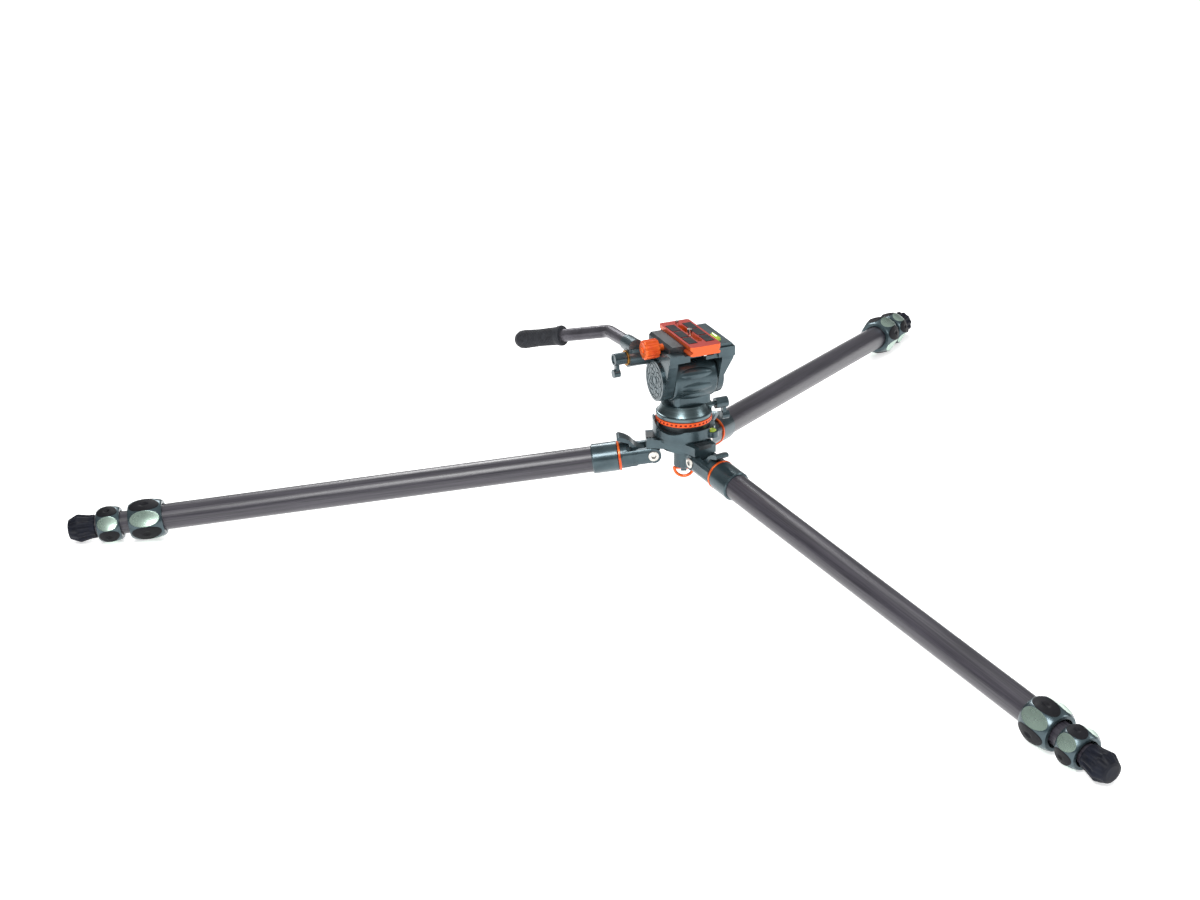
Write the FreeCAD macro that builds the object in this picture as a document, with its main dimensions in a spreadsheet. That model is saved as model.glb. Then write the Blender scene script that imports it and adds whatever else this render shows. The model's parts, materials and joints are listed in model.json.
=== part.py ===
"""A low-splayed video tripod with a fluid head, as a parametric FreeCAD document.

Three telescopic legs hinge on a cast apex. A levelling ball sits in the apex bowl and carries a
panning, tilting head with a quick-release plate and a cranked pan handle. All lengths are in
millimetres and all angles in degrees. While it is built, the frame stands on the pan axis at floor
level, +Z up, with the front leg along -Y. At the end every piece moves together, so that the origin
is the bottom centre of the whole.
"""

import FreeCAD
import Part
import math
import os
import Sketcher
from FreeCAD import Placement, Rotation, Vector

DRIVING = [
    # apex and leg hinges
    ("hinge_radius", 38.0, "pan axis to a leg's hinge pin"),
    ("hinge_height", 100.0, "floor to a leg's hinge pin"),
    ("hinge_pin_radius", 4.0, "leg hinge pin"),
    ("bolt_head_radius", 6.3, "head and nut of the hinge bolt"),
    ("bolt_head_length", 2.2, "head and nut of the hinge bolt"),
    ("ear_radius", 9.5, "rounded end of a casting's ears"),
    ("ear_span", 34.0, "width over both ears"),
    ("lug_width", 18.0, "apex lug between the ears"),
    ("lug_radius", 8.6, "rounded end of an apex lug"),
    ("arm_reach", 46.5, "pan axis to the end face of an apex arm"),
    ("arm_width", 31.0, "apex arm"),
    ("arm_thickness", 11.0, "apex arm"),
    ("arm_gap", 0.6, "ears to the apex arm above them"),
    ("hub_radius", 33.0, "round middle of the apex"),
    # levelling bowl and ball
    ("ball_radius", 31.5, "levelling ball"),
    ("liner_thickness", 1.6, "nylon liner in the bowl"),
    ("ball_play", 0.1, "clearance between ball, liner and bowl"),
    ("bowl_wall", 4.6, "bowl under the liner"),
    ("ball_centre", 42.0, "hinge pin up to the ball's centre"),
    ("rim_radius", 38.5, "outside of the bowl's rim"),
    ("rim_wall", 2.2, "lip of the rim"),
    ("rim_dip", 8.0, "ball's centre down to the low parts of the rim"),
    ("rim_high", 3.0, "ball's centre up to the high parts of the rim"),
    ("draw_bolt_radius", 4.5, "bolt from the ball down to its lock knob"),
    ("level_knob_radius", 12.6, "lock knob under the apex"),
    ("level_knob_length", 21.0, "lock knob under the apex"),
    ("level_ring_radius", 34.5, "coloured ring under the pan base"),
    ("level_ring_height", 5.6, "coloured ring under the pan base"),
    ("hook_width", 27.0, "weight hook, over its wire"),
    ("hook_drop", 15.0, "weight hook, below its pivot"),
    ("hook_wire", 3.8, "diameter of the hook's wire"),
    # legs
    ("upper_tube", 32.0, "outside diameter of the upper leg tube"),
    ("tube_wall", 1.5, "wall of all leg tubes"),
    ("tube_gap", 0.5, "radial gap between telescoping tubes"),
    ("tube_span", 530.5, "bare length of the upper tube"),
    ("collar_wall", 2.4, "leg casting around its tube"),
    ("collar_length", 32.5, "leg casting around its tube"),
    ("clevis_length", 40.0, "hinge pin to the coloured leg ring"),
    ("leg_ring_width", 3.0, "coloured leg ring"),
    ("upper_lock_length", 45.0, "upper twist lock"),
    ("upper_lock_bulge", 11.0, "upper twist lock beyond its tube"),
    ("lower_lock_length", 31.0, "lower twist lock"),
    ("lower_lock_bulge", 10.0, "lower twist lock beyond its tube"),
    ("lock_gap", 8.0, "between the two twist locks"),
    ("foot_length", 35.0, "rubber foot"),
    ("foot_radius", 18.8, "rubber foot, at its widest"),
    # head
    ("pan_rest", -9.4, "pan angle at rest, about +Z"),
    ("pan_base_radius", 34.2, "pan base"),
    ("pan_base_height", 17.0, "pan base"),
    ("tilt_height", 98.0, "hinge pin up to the tilt axis"),
    ("head_offset", 5.0, "pan axis to the middle of the housing"),
    ("housing_width", 57.0, "housing between the arms"),
    ("housing_radius", 28.0, "housing about the tilt axis"),
    ("side_play", 0.6, "housing to each arm"),
    ("side_arm", 12.0, "thickness of the left cradle arm"),
    ("right_arm_top", 16.0, "thickness of the right cradle arm at the deck"),
    ("right_arm_foot", 5.0, "thickness of the right cradle arm at the axle"),
    ("axle_radius", 6.0, "tilt axle"),
    ("deck_rise", 31.0, "tilt axis up to the underside of the deck"),
    ("deck_thickness", 8.0, "deck of the cradle"),
    ("deck_length", 72.0, "deck of the cradle, front to back"),
    ("plate_length", 94.0, "release plate"),
    ("plate_width", 40.0, "release plate"),
    ("plate_thickness", 12.0, "release plate"),
    ("plate_offset", 3.0, "middle of the housing to the middle of the plate"),
    ("jaw_width", 18.0, "moving jaw"),
    ("jaw_height", 10.0, "jaws above the deck"),
    ("clamp_knob_radius", 12.0, "knob of the moving jaw"),
    ("clamp_knob_length", 19.0, "knob of the moving jaw"),
    ("camera_screw_radius", 3.175, "quarter-inch camera screw"),
    ("camera_screw_rise", 5.5, "camera screw above the plate"),
    ("video_pin_radius", 2.2, "anti-twist pin"),
    ("video_pin_rise", 3.5, "anti-twist pin above the plate"),
    # handle and levers
    ("knuckle_radius", 11.5, "handle knuckle"),
    ("knuckle_length", 26.0, "handle knuckle"),
    ("knuckle_back", 21.0, "tilt axis back to the knuckle"),
    ("knuckle_up", 26.5, "tilt axis up to the knuckle"),
    ("bar_radius", 8.0, "pan bar"),
    ("bar_wall", 1.6, "pan bar"),
    ("bar_first", 84.0, "pan bar, straight from the knuckle to the bend"),
    ("bar_second", 140.0, "pan bar, bend to the end"),
    ("bar_bend", 24.0, "radius of the pan bar's bend"),
    ("grip_length", 70.0, "grip"),
    ("grip_radius", 11.6, "grip"),
    ("lever_hub_radius", 7.4, "hub of a lock lever"),
    ("lever_hub_length", 15.0, "hub of a lock lever"),
    ("lever_drop", 18.0, "hub to the small end of a lock lever"),
    ("shaft_play", 0.1, "radial clearance of pins and shafts in their holes"),
    ("face_play", 0.3, "clearance between faces that pass each other"),
]
LEGS = {"front": -90.0, "right": 30.0, "left": 150.0}
DOC = FreeCAD.newDocument("VideoTripod")


class Size(float):
    """A length or angle that also carries its spreadsheet expression."""

    def __new__(cls, value, text):
        made = float.__new__(cls, value)
        made.text = text
        return made

    def __add__(self, other):
        return Size(float(self) + float(other), f"({self.text} + {as_text(other)})")

    def __radd__(self, other):
        return Size(float(other) + float(self), f"({as_text(other)} + {self.text})")

    def __sub__(self, other):
        return Size(float(self) - float(other), f"({self.text} - {as_text(other)})")

    def __rsub__(self, other):
        return Size(float(other) - float(self), f"({as_text(other)} - {self.text})")

    def __mul__(self, other):
        return Size(float(self) * float(other), f"({self.text} * {as_text(other)})")

    __rmul__ = __mul__

    def __truediv__(self, other):
        return Size(float(self) / float(other), f"({self.text} / {as_text(other)})")

    def __neg__(self):
        return Size(-float(self), f"(-1 * {self.text})")


def as_text(value):
    return value.text if isinstance(value, Size) else repr(float(value))


class Sizes:
    """Every driving dimension, by its alias in the spreadsheet."""

    def __init__(self):
        sheet = DOC.addObject("Spreadsheet::Sheet", "Sheet")
        for row, (alias, value, meaning) in enumerate(DRIVING, start=1):
            sheet.set(f"A{row}", str(value))
            sheet.setAlias(f"A{row}", alias)
            sheet.set(f"B{row}", meaning)
            setattr(self, alias, Size(value, f"Sheet.{alias}"))
        DOC.recompute()


S = Sizes()

# Stations along a leg, from its hinge pin towards the foot.
RING_START = S.clevis_length
COLLAR_START = RING_START + S.leg_ring_width
COLLAR_END = COLLAR_START + S.collar_length
UPPER_LOCK = COLLAR_END + S.tube_span
UPPER_LOCK_END = UPPER_LOCK + S.upper_lock_length
LOWER_LOCK = UPPER_LOCK_END + S.lock_gap
LOWER_LOCK_END = LOWER_LOCK + S.lower_lock_length
FOOT = LOWER_LOCK_END + 1.0
FOOT_END = FOOT + S.foot_length
FOOT_WIDEST = FOOT + S.foot_length * 0.6
# Radii of the telescoping tubes.
UPPER_R = S.upper_tube / 2
MIDDLE_R = UPPER_R - S.tube_wall - S.tube_gap
LOWER_R = MIDDLE_R - S.tube_wall - S.tube_gap
COLLAR_R = UPPER_R + S.collar_wall
NECK_R = UPPER_R + 0.4
# Heights of the apex and the head.
ARM_BOTTOM = S.hinge_height + S.ear_radius + S.arm_gap
ARM_TOP = ARM_BOTTOM + S.arm_thickness
BALL_Z = S.hinge_height + S.ball_centre
LINER_IN = S.ball_radius + S.ball_play
LINER_OUT = LINER_IN + S.liner_thickness
BOWL_IN = LINER_OUT + S.ball_play
BOWL_OUT = BOWL_IN + S.bowl_wall
RIM_Z = BALL_Z - S.rim_dip
RING_Z = BALL_Z + 0.8
PAN_Z = RING_Z + S.level_ring_height
PAN_TOP = PAN_Z + S.pan_base_height
TILT_Z = S.hinge_height + S.tilt_height
DECK_Z = TILT_Z + S.deck_rise
DECK_TOP = DECK_Z + S.deck_thickness
PLATE_X = S.head_offset + S.plate_offset
PLATE_TOP = DECK_TOP + 2.5 + S.plate_thickness
PLATE_Z = PLATE_TOP - S.plate_thickness
HALF_INNER = S.housing_width / 2 + S.side_play
ARM_IN_LEFT = S.head_offset - HALF_INNER
ARM_IN_RIGHT = S.head_offset + HALF_INNER
ARM_OUT_LEFT = ARM_IN_LEFT - S.side_arm
ARM_OUT_RIGHT = ARM_IN_RIGHT + S.right_arm_top
ARM_FOOT_RIGHT = ARM_IN_RIGHT + S.right_arm_foot


# ---------------------------------------------------------------- building blocks


def bind(thing, prop, size):
    """Sets a property to a number, and ties it to the spreadsheet when the number is a Size."""
    if isinstance(size, Size):
        thing.setExpression(prop, size.text)
    else:
        steps = prop.split(".")
        if len(steps) == 1:
            setattr(thing, prop, float(size))
        else:
            base = thing.Placement.Base
            setattr(base, steps[-1], float(size))
            thing.Placement = Placement(base, thing.Placement.Rotation)


def move_to(thing, x, y, z):
    for letter, size in zip("xyz", (x, y, z)):
        bind(thing, f"Placement.Base.{letter}", size)


def block(name, low, high):
    """A box from its low corner to its high corner."""
    made = DOC.addObject("Part::Box", name)
    for prop, a, b in zip(("Length", "Width", "Height"), low, high):
        bind(made, prop, b - a)
    move_to(made, *low)
    return made


TURNS = {"X": Rotation(Vector(0, 1, 0), 90), "Y": Rotation(Vector(1, 0, 0), -90), "Z": Rotation()}


def rod(name, axis, radius, start, length):
    """A cylinder from its start point, along +X, +Y or +Z."""
    made = DOC.addObject("Part::Cylinder", name)
    bind(made, "Radius", radius)
    bind(made, "Height", length)
    made.Placement = Placement(Vector(), TURNS[axis])
    move_to(made, *start)
    return made


def ball(name, radius, centre):
    made = DOC.addObject("Part::Sphere", name)
    bind(made, "Radius", radius)
    move_to(made, *centre)
    return made


def fuse(name, *shapes):
    made = DOC.addObject("Part::MultiFuse", name)
    made.Shapes = list(shapes)
    made.Refine = True
    return made


def cut(name, base, *tools):
    made = DOC.addObject("Part::Cut", name)
    made.Base = base
    made.Tool = tools[0] if len(tools) == 1 else fuse(name + "_tools", *tools)
    made.Refine = True
    return made


def common(name, *shapes):
    made = DOC.addObject("Part::MultiCommon", name)
    made.Shapes = list(shapes)
    made.Refine = True
    return made


def group(name, *shapes):
    """Separate solids kept in one sub-part."""
    made = DOC.addObject("Part::Compound", name)
    made.Links = list(shapes)
    return made


def plane_of(body, role):
    return next(f for f in body.Origin.OriginFeatures if f.Role == role)


def draw(body, role, points):
    """A closed sketch through the points. A point is (x, y), or (x, y, bulge): bulge is the
    radius of the arc to the next point, positive when the arc bows to the right of its way."""
    sketch = body.newObject("Sketcher::SketchObject", body.Name + "_sketch")
    sketch.AttachmentSupport = [(plane_of(body, role), "")]
    sketch.MapMode = "FlatFace"
    count = len(points)
    flat = [Vector(float(p[0]), float(p[1]), 0) for p in points]
    for i, point in enumerate(points):
        a, b = flat[i], flat[(i + 1) % count]
        if len(point) == 3:
            sketch.addGeometry(arc_between(a, b, float(point[2])))
        else:
            sketch.addGeometry(Part.LineSegment(a, b))
    ends = [arc_ends(sketch.Geometry[i], flat[i]) for i in range(count)]
    for i, point in enumerate(points):
        j = (i + 1) % count
        sketch.addConstraint(Sketcher.Constraint("Coincident", i, ends[i][1], j, ends[j][0]))
        if len(point) == 3:
            tie(sketch, Sketcher.Constraint("Radius", i, abs(float(point[2]))), abs_size(point[2]))
    for i, point in enumerate(points):
        for kind, axis, size in (("DistanceX", -2, point[0]), ("DistanceY", -1, point[1])):
            if not isinstance(size, Size) and abs(size) < 1e-9:
                sketch.addConstraint(Sketcher.Constraint("PointOnObject", i, ends[i][0], axis))
            else:
                made = Sketcher.Constraint(kind, -1, 1, i, ends[i][0], float(size))
                tie(sketch, made, size)
    return sketch


def tie(sketch, constraint, size):
    index = sketch.addConstraint(constraint)
    if isinstance(size, Size):
        sketch.setExpression(f"Constraints[{index}]", size.text)


def abs_size(size):
    return -size if float(size) < 0 else size


def arc_between(a, b, bulge):
    """The short arc of a circle from a to b, bowing right of the way from a to b if bulge > 0."""
    first, last = (a, b) if bulge > 0 else (b, a)
    along = last - first
    half = along.Length / 2
    left = Vector(-along.y, along.x, 0).normalize()
    centre = (first + last) / 2 + left * math.sqrt(max(bulge * bulge - half * half, 0))
    circle = Part.Circle(centre, Vector(0, 0, 1), abs(bulge))
    start, end = [math.atan2(p.y - centre.y, p.x - centre.x) for p in (first, last)]
    return Part.ArcOfCircle(circle, start, end)


def arc_ends(geometry, start):
    """Which ends of a sketch segment are its (first, last) points, walking from start."""
    if geometry.StartPoint.distanceToPoint(start) < 1e-6:
        return 1, 2
    return 2, 1


def turned(name, axis, points):
    """A body turned about X, from (station, radius) points, or about Z, from (radius, height)."""
    body = DOC.addObject("PartDesign::Body", name)
    sketch = draw(body, "XY_Plane" if axis == "X" else "XZ_Plane", points)
    made = body.newObject("PartDesign::Revolution", name + "_turn")
    made.Profile = sketch
    made.ReferenceAxis = (sketch, ["H_Axis" if axis == "X" else "V_Axis"])
    made.Angle = 360
    sketch.Visibility = False
    return body


def padded(name, role, points, depth):
    """A body padded evenly to both sides of one of its origin planes."""
    body = DOC.addObject("PartDesign::Body", name)
    sketch = draw(body, role, points)
    made = body.newObject("PartDesign::Pad", name + "_pad")
    made.Profile = sketch
    made.Midplane = True
    bind(made, "Length", depth)
    return body


def rounded(name, base, radius, choose):
    """A Part::Fillet of the base's edges that choose picks."""
    DOC.recompute()
    made = DOC.addObject("Part::Fillet", name)
    made.Base = base
    picked = [(i, radius, radius) for i, e in enumerate(base.Shape.Edges, 1) if choose(e)]
    if not picked:
        raise RuntimeError(f"{name}: no edge to round")
    made.Edges = picked
    return made


def shaped(name, shape):
    made = DOC.addObject("Part::Feature", name)
    made.Shape = shape
    return made


def tube(name, axis, outer, inner, start, length):
    """A pipe along an axis."""
    return cut(
        name,
        rod(name + "_outside", axis, outer, start, length),
        rod(name + "_bore", axis, inner, start, length),
    )


SUB_PARTS = []
# Pivot of a stop lever in its leg's frame: along the leg, and up.
STOP_PIN = (21.0, 7.0)


def sub_part(label, thing, frame):
    """Names a finished piece and puts it in the frame that it was drawn in."""
    if thing.ExpressionEngine or thing.TypeId in ("Part::Box", "Part::Cylinder", "Part::Sphere"):
        thing = group(label.replace("_", "") + "_piece", thing)
    thing.Label = label
    thing.Placement = frame
    SUB_PARTS.append(thing)
    return thing


# ---------------------------------------------------------------- frames


def leg_slope():
    """How far a leg drops below level, so that its foot's widest ring touches the floor."""
    run = float(FOOT_WIDEST)
    drop = float(S.foot_radius)
    return math.degrees(
        math.asin(float(S.hinge_height) / math.hypot(run, drop)) - math.atan2(drop, run)
    )


def leg_frame(azimuth):
    """The leg's own frame: origin on its hinge pin, +X along the leg to the foot, +Y across."""
    turn = Rotation(Vector(0, 0, 1), azimuth)
    base = turn.multVec(Vector(S.hinge_radius, 0, 0)) + Vector(0, 0, S.hinge_height)
    return Placement(base, turn * Rotation(Vector(0, 1, 0), leg_slope()))


def head_frame():
    """The head's own frame: +X along the tilt axis, -Y to the camera's front, z from the floor."""
    return Placement(Vector(), Rotation(Vector(0, 0, 1), S.pan_rest))


# ---------------------------------------------------------------- legs


def leg_casting(leg):
    """Cast clevis and tube socket, with ears each side of the apex lug."""
    name = f"leg_casting_{leg}"
    half = S.ear_span / 2
    socket = COLLAR_START + 4.0
    collar = turned(
        name + "_collar",
        "X",
        [
            (RING_START - 12.0, 0),
            (RING_START - 12.0, NECK_R - 1.0),
            (RING_START - 8.0, NECK_R),
            (COLLAR_START, NECK_R),
            (COLLAR_START, COLLAR_R - 1.0),
            (COLLAR_START + 1.0, COLLAR_R),
            (COLLAR_END - 1.5, COLLAR_R),
            (COLLAR_END, COLLAR_R - 1.5),
            (COLLAR_END, UPPER_R),
            (socket, UPPER_R),
            (socket, 0),
        ],
    )
    bar = block(name + "_bar", (0, -half, -S.ear_radius), (RING_START - 2.0, half, S.ear_radius))
    envelope = rod(name + "_round", "X", NECK_R + 1.4, (-12, 0, 0), RING_START + 12.0)
    ends = rod(name + "_ends", "Y", S.ear_radius, (0, -half, 0), S.ear_span)
    end_slab = block(name + "_slab", (-12, -half, -14), (2, half, 14))
    keel = padded(
        name + "_keel",
        "XZ_Plane",
        [
            (RING_START - 22.0, -S.ear_radius + 2.0),
            (RING_START - 19.0, -S.ear_radius - 2.6),
            (RING_START - 1.0, -S.ear_radius - 2.6),
            (RING_START - 1.0, -S.ear_radius + 2.0),
        ],
        S.ear_span * 0.7,
    )
    solid = fuse(
        name + "_solid",
        collar,
        common(name + "_clevis", bar, envelope),
        common(name + "_knuckles", ends, end_slab),
        common(name + "_step", keel, envelope),
    )
    slot_half = S.lug_width / 2 + S.face_play
    slot = block(name + "_slot", (-16, -slot_half, -20), (26.5, slot_half, 20))
    hole = rod(name + "_hole", "Y", S.hinge_pin_radius + S.shaft_play, (0, -30, 0), 60)
    lever_hole = rod(
        name + "_leverhole", "Y", 1.5 + S.shaft_play, (STOP_PIN[0], -30, STOP_PIN[1]), 60
    )
    seats = [
        rod(f"{name}_seat{i}", "Y", S.bolt_head_radius + S.face_play, (0, y, 0), 12)
        for i, y in enumerate((half - 1.2, -half - 10.8))
    ]
    return cut(name, solid, slot, hole, lever_hole, *seats)


def leg_ring(leg):
    """Coloured ring in the groove between clevis and collar."""
    name = f"leg_ring_{leg}"
    return turned(
        name,
        "X",
        [
            (RING_START, NECK_R + 0.05),
            (RING_START, COLLAR_R - 0.1),
            (RING_START + 0.6, COLLAR_R + 0.4),
            (COLLAR_START - 0.6, COLLAR_R + 0.4),
            (COLLAR_START - 0.05, COLLAR_R - 0.1),
            (COLLAR_START - 0.05, NECK_R + 0.05),
        ],
    )


def stop_lever(leg):
    """Angle-stop lever: its nose bears on the apex lug, its tab stands up for a thumb."""
    name = f"stop_lever_{leg}"
    nose = S.lug_radius + 0.5
    x, z = STOP_PIN
    width = S.lug_width - 0.2
    lever = padded(
        name + "_lever",
        "XZ_Plane",
        [
            (nose, -3.0),
            (16.5, -3.0),
            (23.5, 4.0),
            (25.0, 10.5, -30.0),
            (28.6, 17.4),
            (36.0, 20.3, -30.0),
            (41.8, 22.6, 2.9),
            (38.8, 27.2, 30.0),
            (24.0, 17.4, -30.0),
            (nose + 1.0, 6.5),
            (nose, 5.0),
        ],
        width,
    )
    bored = cut(name + "_bored", lever, rod(name + "_bore", "Y", 1.5, (x, -12, z), 24))
    pin = rod(name + "_pin", "Y", 1.5, (x, -S.ear_span / 2 + 1.5, z), S.ear_span - 3.0)
    return group(name, bored, pin)


def leg_tube(name, radius, start, length):
    return tube(name, "X", radius, radius - S.tube_wall, (start, 0, 0), length)


def barrel(length, radius, end_radius, start):
    """A barrel about X: full radius in the middle, end_radius at its ends."""
    edge = [Vector(start, 0, 0), Vector(start, end_radius, 0)]
    far = [Vector(start + length, end_radius, 0), Vector(start + length, 0, 0)]
    bow = Part.Arc(edge[1], Vector(start + length / 2, radius, 0), far[0]).toShape()
    sides = [Part.makeLine(edge[0], edge[1]), bow, Part.makeLine(far[0], far[1])]
    wire = Part.Wire(sides + [Part.makeLine(far[1], edge[0])])
    return Part.Face(wire).revolve(Vector(), Vector(1, 0, 0), 360)


def oval(centre_x, half_long, half_wide, low, high, angle):
    """An upright oval prism that stands out radially from the X axis, turned about it."""
    face = Part.Face(
        Part.Wire(Part.Ellipse(Vector(centre_x, 0, low), half_long, half_wide).toShape())
    )
    prism = face.extrude(Vector(0, 0, high - low))
    prism.rotate(Vector(), Vector(1, 0, 0), angle)
    return prism


def lock_sizes(start, length, inner, bulge):
    """The sizes that a lock's collar and its pads share."""
    radius = inner + bulge
    end_radius = radius - bulge * 0.32
    facet = radius * math.cos(math.radians(22.7))
    return {
        "start": float(start),
        "length": float(length),
        "radius": float(radius),
        "end": float(end_radius),
        "facet": facet,
        "half_long": float(length) * 0.39,
        "half_wide": math.sqrt(radius * radius - facet * facet) * 0.94,
    }


def lock_collar(name, start, length, inner, outer, bulge):
    """Twist-lock collar with four dished flats, four pad seats and a captive split collet."""
    z = lock_sizes(start, length, outer, bulge)
    middle = z["start"] + z["length"] / 2
    solid = barrel(z["length"], z["radius"], z["end"], z["start"])
    dish = z["half_long"] * 8.0
    for angle in (0, 90, 180, 270):
        flat = Part.makeSphere(dish, Vector(middle, 0, z["facet"] - 1.0 + dish))
        flat.rotate(Vector(), Vector(1, 0, 0), angle)
        solid = solid.cut(flat)
    for angle in (45, 135, 225, 315):
        beyond = Part.makeBox(z["length"] * 2, 80, 20, Vector(middle - z["length"], -40, z["facet"]))
        beyond.rotate(Vector(), Vector(1, 0, 0), angle)
        seat = oval(middle, z["half_long"], z["half_wide"], z["facet"] - 2.0, z["facet"] + 9, angle)
        solid = solid.cut(beyond).cut(seat)
    end = z["start"] + z["length"]
    shoulder = end - 14.0
    deep = shoulder - z["start"] + 1
    bore = Part.makeCylinder(outer + 0.3, deep, Vector(z["start"] - 1, 0, 0), Vector(1, 0, 0))
    nose = Part.makeCylinder(inner + 0.4, z["length"] + 2, Vector(z["start"] - 1, 0, 0), Vector(1, 0, 0))
    cone = Part.makeCone(outer + 0.3, inner + 1.2, 10.0, Vector(shoulder, 0, 0), Vector(1, 0, 0))
    solid = solid.cut(bore).cut(nose).cut(cone)
    return group(name, shaped(name + "_collar", solid), collet(name, shoulder, inner, outer))


def collet(name, shoulder, inner, outer):
    """Split nylon cone that the collar squeezes on the inner tube."""
    big = outer + 0.3
    cone = Part.makeCone(big - 0.2, inner + 1.1, 9.6, Vector(shoulder, 0, 0), Vector(1, 0, 0))
    bore = Part.makeCylinder(inner + 0.3, 12, Vector(shoulder - 1, 0, 0), Vector(1, 0, 0))
    split = Part.makeBox(12, 2.0, outer + 4, Vector(shoulder - 1, -1, 0))
    return shaped(name + "_collet", cone.cut(bore).cut(split))


def lock_pads(name, start, length, outer, bulge):
    """Four soft oval pads with a finger dimple, bedded in the collar."""
    z = lock_sizes(start, length, outer, bulge)
    middle = z["start"] + z["length"] / 2
    low = z["facet"] - 1.95
    pads = []
    for number, angle in enumerate((45, 135, 225, 315)):
        pad = oval(middle, z["half_long"] - 0.1, z["half_wide"] - 0.1, low, z["facet"] + 2, angle)
        reach = z["half_long"] * 4.0
        crown = Part.makeSphere(reach, Vector(middle, 0, z["facet"] + 0.75 - reach))
        crown.rotate(Vector(), Vector(1, 0, 0), angle)
        dimple = Part.makeSphere(3.4, Vector(middle, 0, z["facet"] + 3.0))
        dimple.rotate(Vector(), Vector(1, 0, 0), angle)
        pads.append(shaped(f"{name}_{number}", pad.common(crown).cut(dimple)))
    return group(name, *pads)


def foot(leg):
    """Fluted rubber foot on a steel stud that screws into the lower tube's end plug."""
    name = f"foot_{leg}"
    neck = LOWER_R + 1.4
    turn = turned(
        name + "_turn",
        "X",
        [
            (FOOT, 0),
            (FOOT, neck - 0.8),
            (FOOT + 0.8, neck, 90.0),
            (FOOT_WIDEST - 1.0, S.foot_radius - 0.2, -4.0),
            (FOOT_WIDEST + 1.0, S.foot_radius - 0.4),
            (FOOT_END - 3.0, S.foot_radius * 0.62, -6.0),
            (FOOT_END, S.foot_radius * 0.4),
            (FOOT_END, 0),
        ],
    )
    DOC.recompute()
    solid = turn.Shape.copy()
    flutes = 10
    for number in range(flutes):
        groove = Part.makeCone(
            1.0,
            3.4,
            S.foot_length * 0.75,
            Vector(FOOT + 4, 0, neck + 1.6),
            Vector(1, 0, (S.foot_radius - neck) / (S.foot_length * 0.55)),
        )
        groove.rotate(Vector(), Vector(1, 0, 0), (number + 0.5) * 360 / flutes)
        solid = solid.cut(groove)
    socket = Part.makeCylinder(6.0, 12, Vector(FOOT - 1, 0, 0), Vector(1, 0, 0))
    stud = Part.makeCylinder(5.9, 10.5, Vector(FOOT + 0.2, 0, 0), Vector(1, 0, 0)).fuse(
        Part.makeCylinder(4.0, 16, Vector(FOOT - 15.8, 0, 0), Vector(1, 0, 0))
    )
    DOC.removeObject(turn.Name)
    return group(name, shaped(name + "_rubber", solid.cut(socket)), shaped(name + "_stud", stud))


def lower_tube(leg):
    """Lowest leg tube, with the plug that takes the foot's stud."""
    name = f"lower_tube_{leg}"
    start = COLLAR_END + 30.0
    length = FOOT - start - 0.1
    pipe = leg_tube(name + "_pipe", LOWER_R, start, length)
    plug = tube(
        name + "_plug", "X", LOWER_R - S.tube_wall, 4.05, (FOOT - 18.1, 0, 0), Size(18.0, "18")
    )
    return fuse(name, pipe, plug)


def build_leg(leg, azimuth):
    frame = leg_frame(azimuth)
    start = COLLAR_START + 4.2
    inside = COLLAR_END + 12.0
    lock_end = UPPER_LOCK + S.upper_lock_length - 15.0
    pieces = {
        "leg_casting": leg_casting(leg),
        "leg_ring": leg_ring(leg),
        "stop_lever": stop_lever(leg),
        "upper_tube": leg_tube(f"upper_tube_{leg}", UPPER_R, start, lock_end - start),
        "upper_lock": lock_collar(
            f"upper_lock_{leg}", UPPER_LOCK, S.upper_lock_length, MIDDLE_R, UPPER_R, S.upper_lock_bulge
        ),
        "upper_lock_pads": lock_pads(
            f"upper_lock_pads_{leg}", UPPER_LOCK, S.upper_lock_length, UPPER_R, S.upper_lock_bulge
        ),
        "middle_tube": leg_tube(
            f"middle_tube_{leg}", MIDDLE_R, inside, LOWER_LOCK_END - 15.0 - inside
        ),
        "lower_lock": lock_collar(
            f"lower_lock_{leg}", LOWER_LOCK, S.lower_lock_length, LOWER_R, MIDDLE_R, S.lower_lock_bulge
        ),
        "lower_lock_pads": lock_pads(
            f"lower_lock_pads_{leg}", LOWER_LOCK, S.lower_lock_length, MIDDLE_R, S.lower_lock_bulge
        ),
        "lower_tube": lower_tube(leg),
        "foot": foot(leg),
    }
    for label, thing in pieces.items():
        sub_part(f"{label}_{leg}", thing, frame)


def hinge_bolts():
    """One socket-head bolt through each casting and apex lug, with its nut end."""
    bolts = []
    half = S.ear_span / 2
    head = S.bolt_head_length
    for leg, azimuth in LEGS.items():
        name = f"hinge_bolt_{leg}"
        shank = rod(name + "_shank", "Y", S.hinge_pin_radius, (0, -half, 0), S.ear_span)
        near = rod(name + "_head", "Y", S.bolt_head_radius, (0, -half - head / 2, 0), head)
        far = rod(name + "_nut", "Y", S.bolt_head_radius, (0, half - head / 2, 0), head)
        sockets = []
        for side in (-1, 1):
            hexagon = DOC.addObject("Part::Prism", f"{name}_hex{side + 1}")
            hexagon.Polygon = 6
            hexagon.Circumradius = 2.9
            hexagon.Height = 2.0
            hexagon.Placement.Rotation = TURNS["Y"]
            bind(hexagon, "Placement.Base.y", (half + head / 2) * side - 1.0)
            sockets.append(hexagon)
        bolt = cut(name, fuse(name + "_solid", shank, near, far), *sockets)
        bolt.Placement = leg_frame(azimuth)
        bolts.append(bolt)
    return group("hinge_bolts", *bolts)


# ---------------------------------------------------------------- apex and levelling


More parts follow.
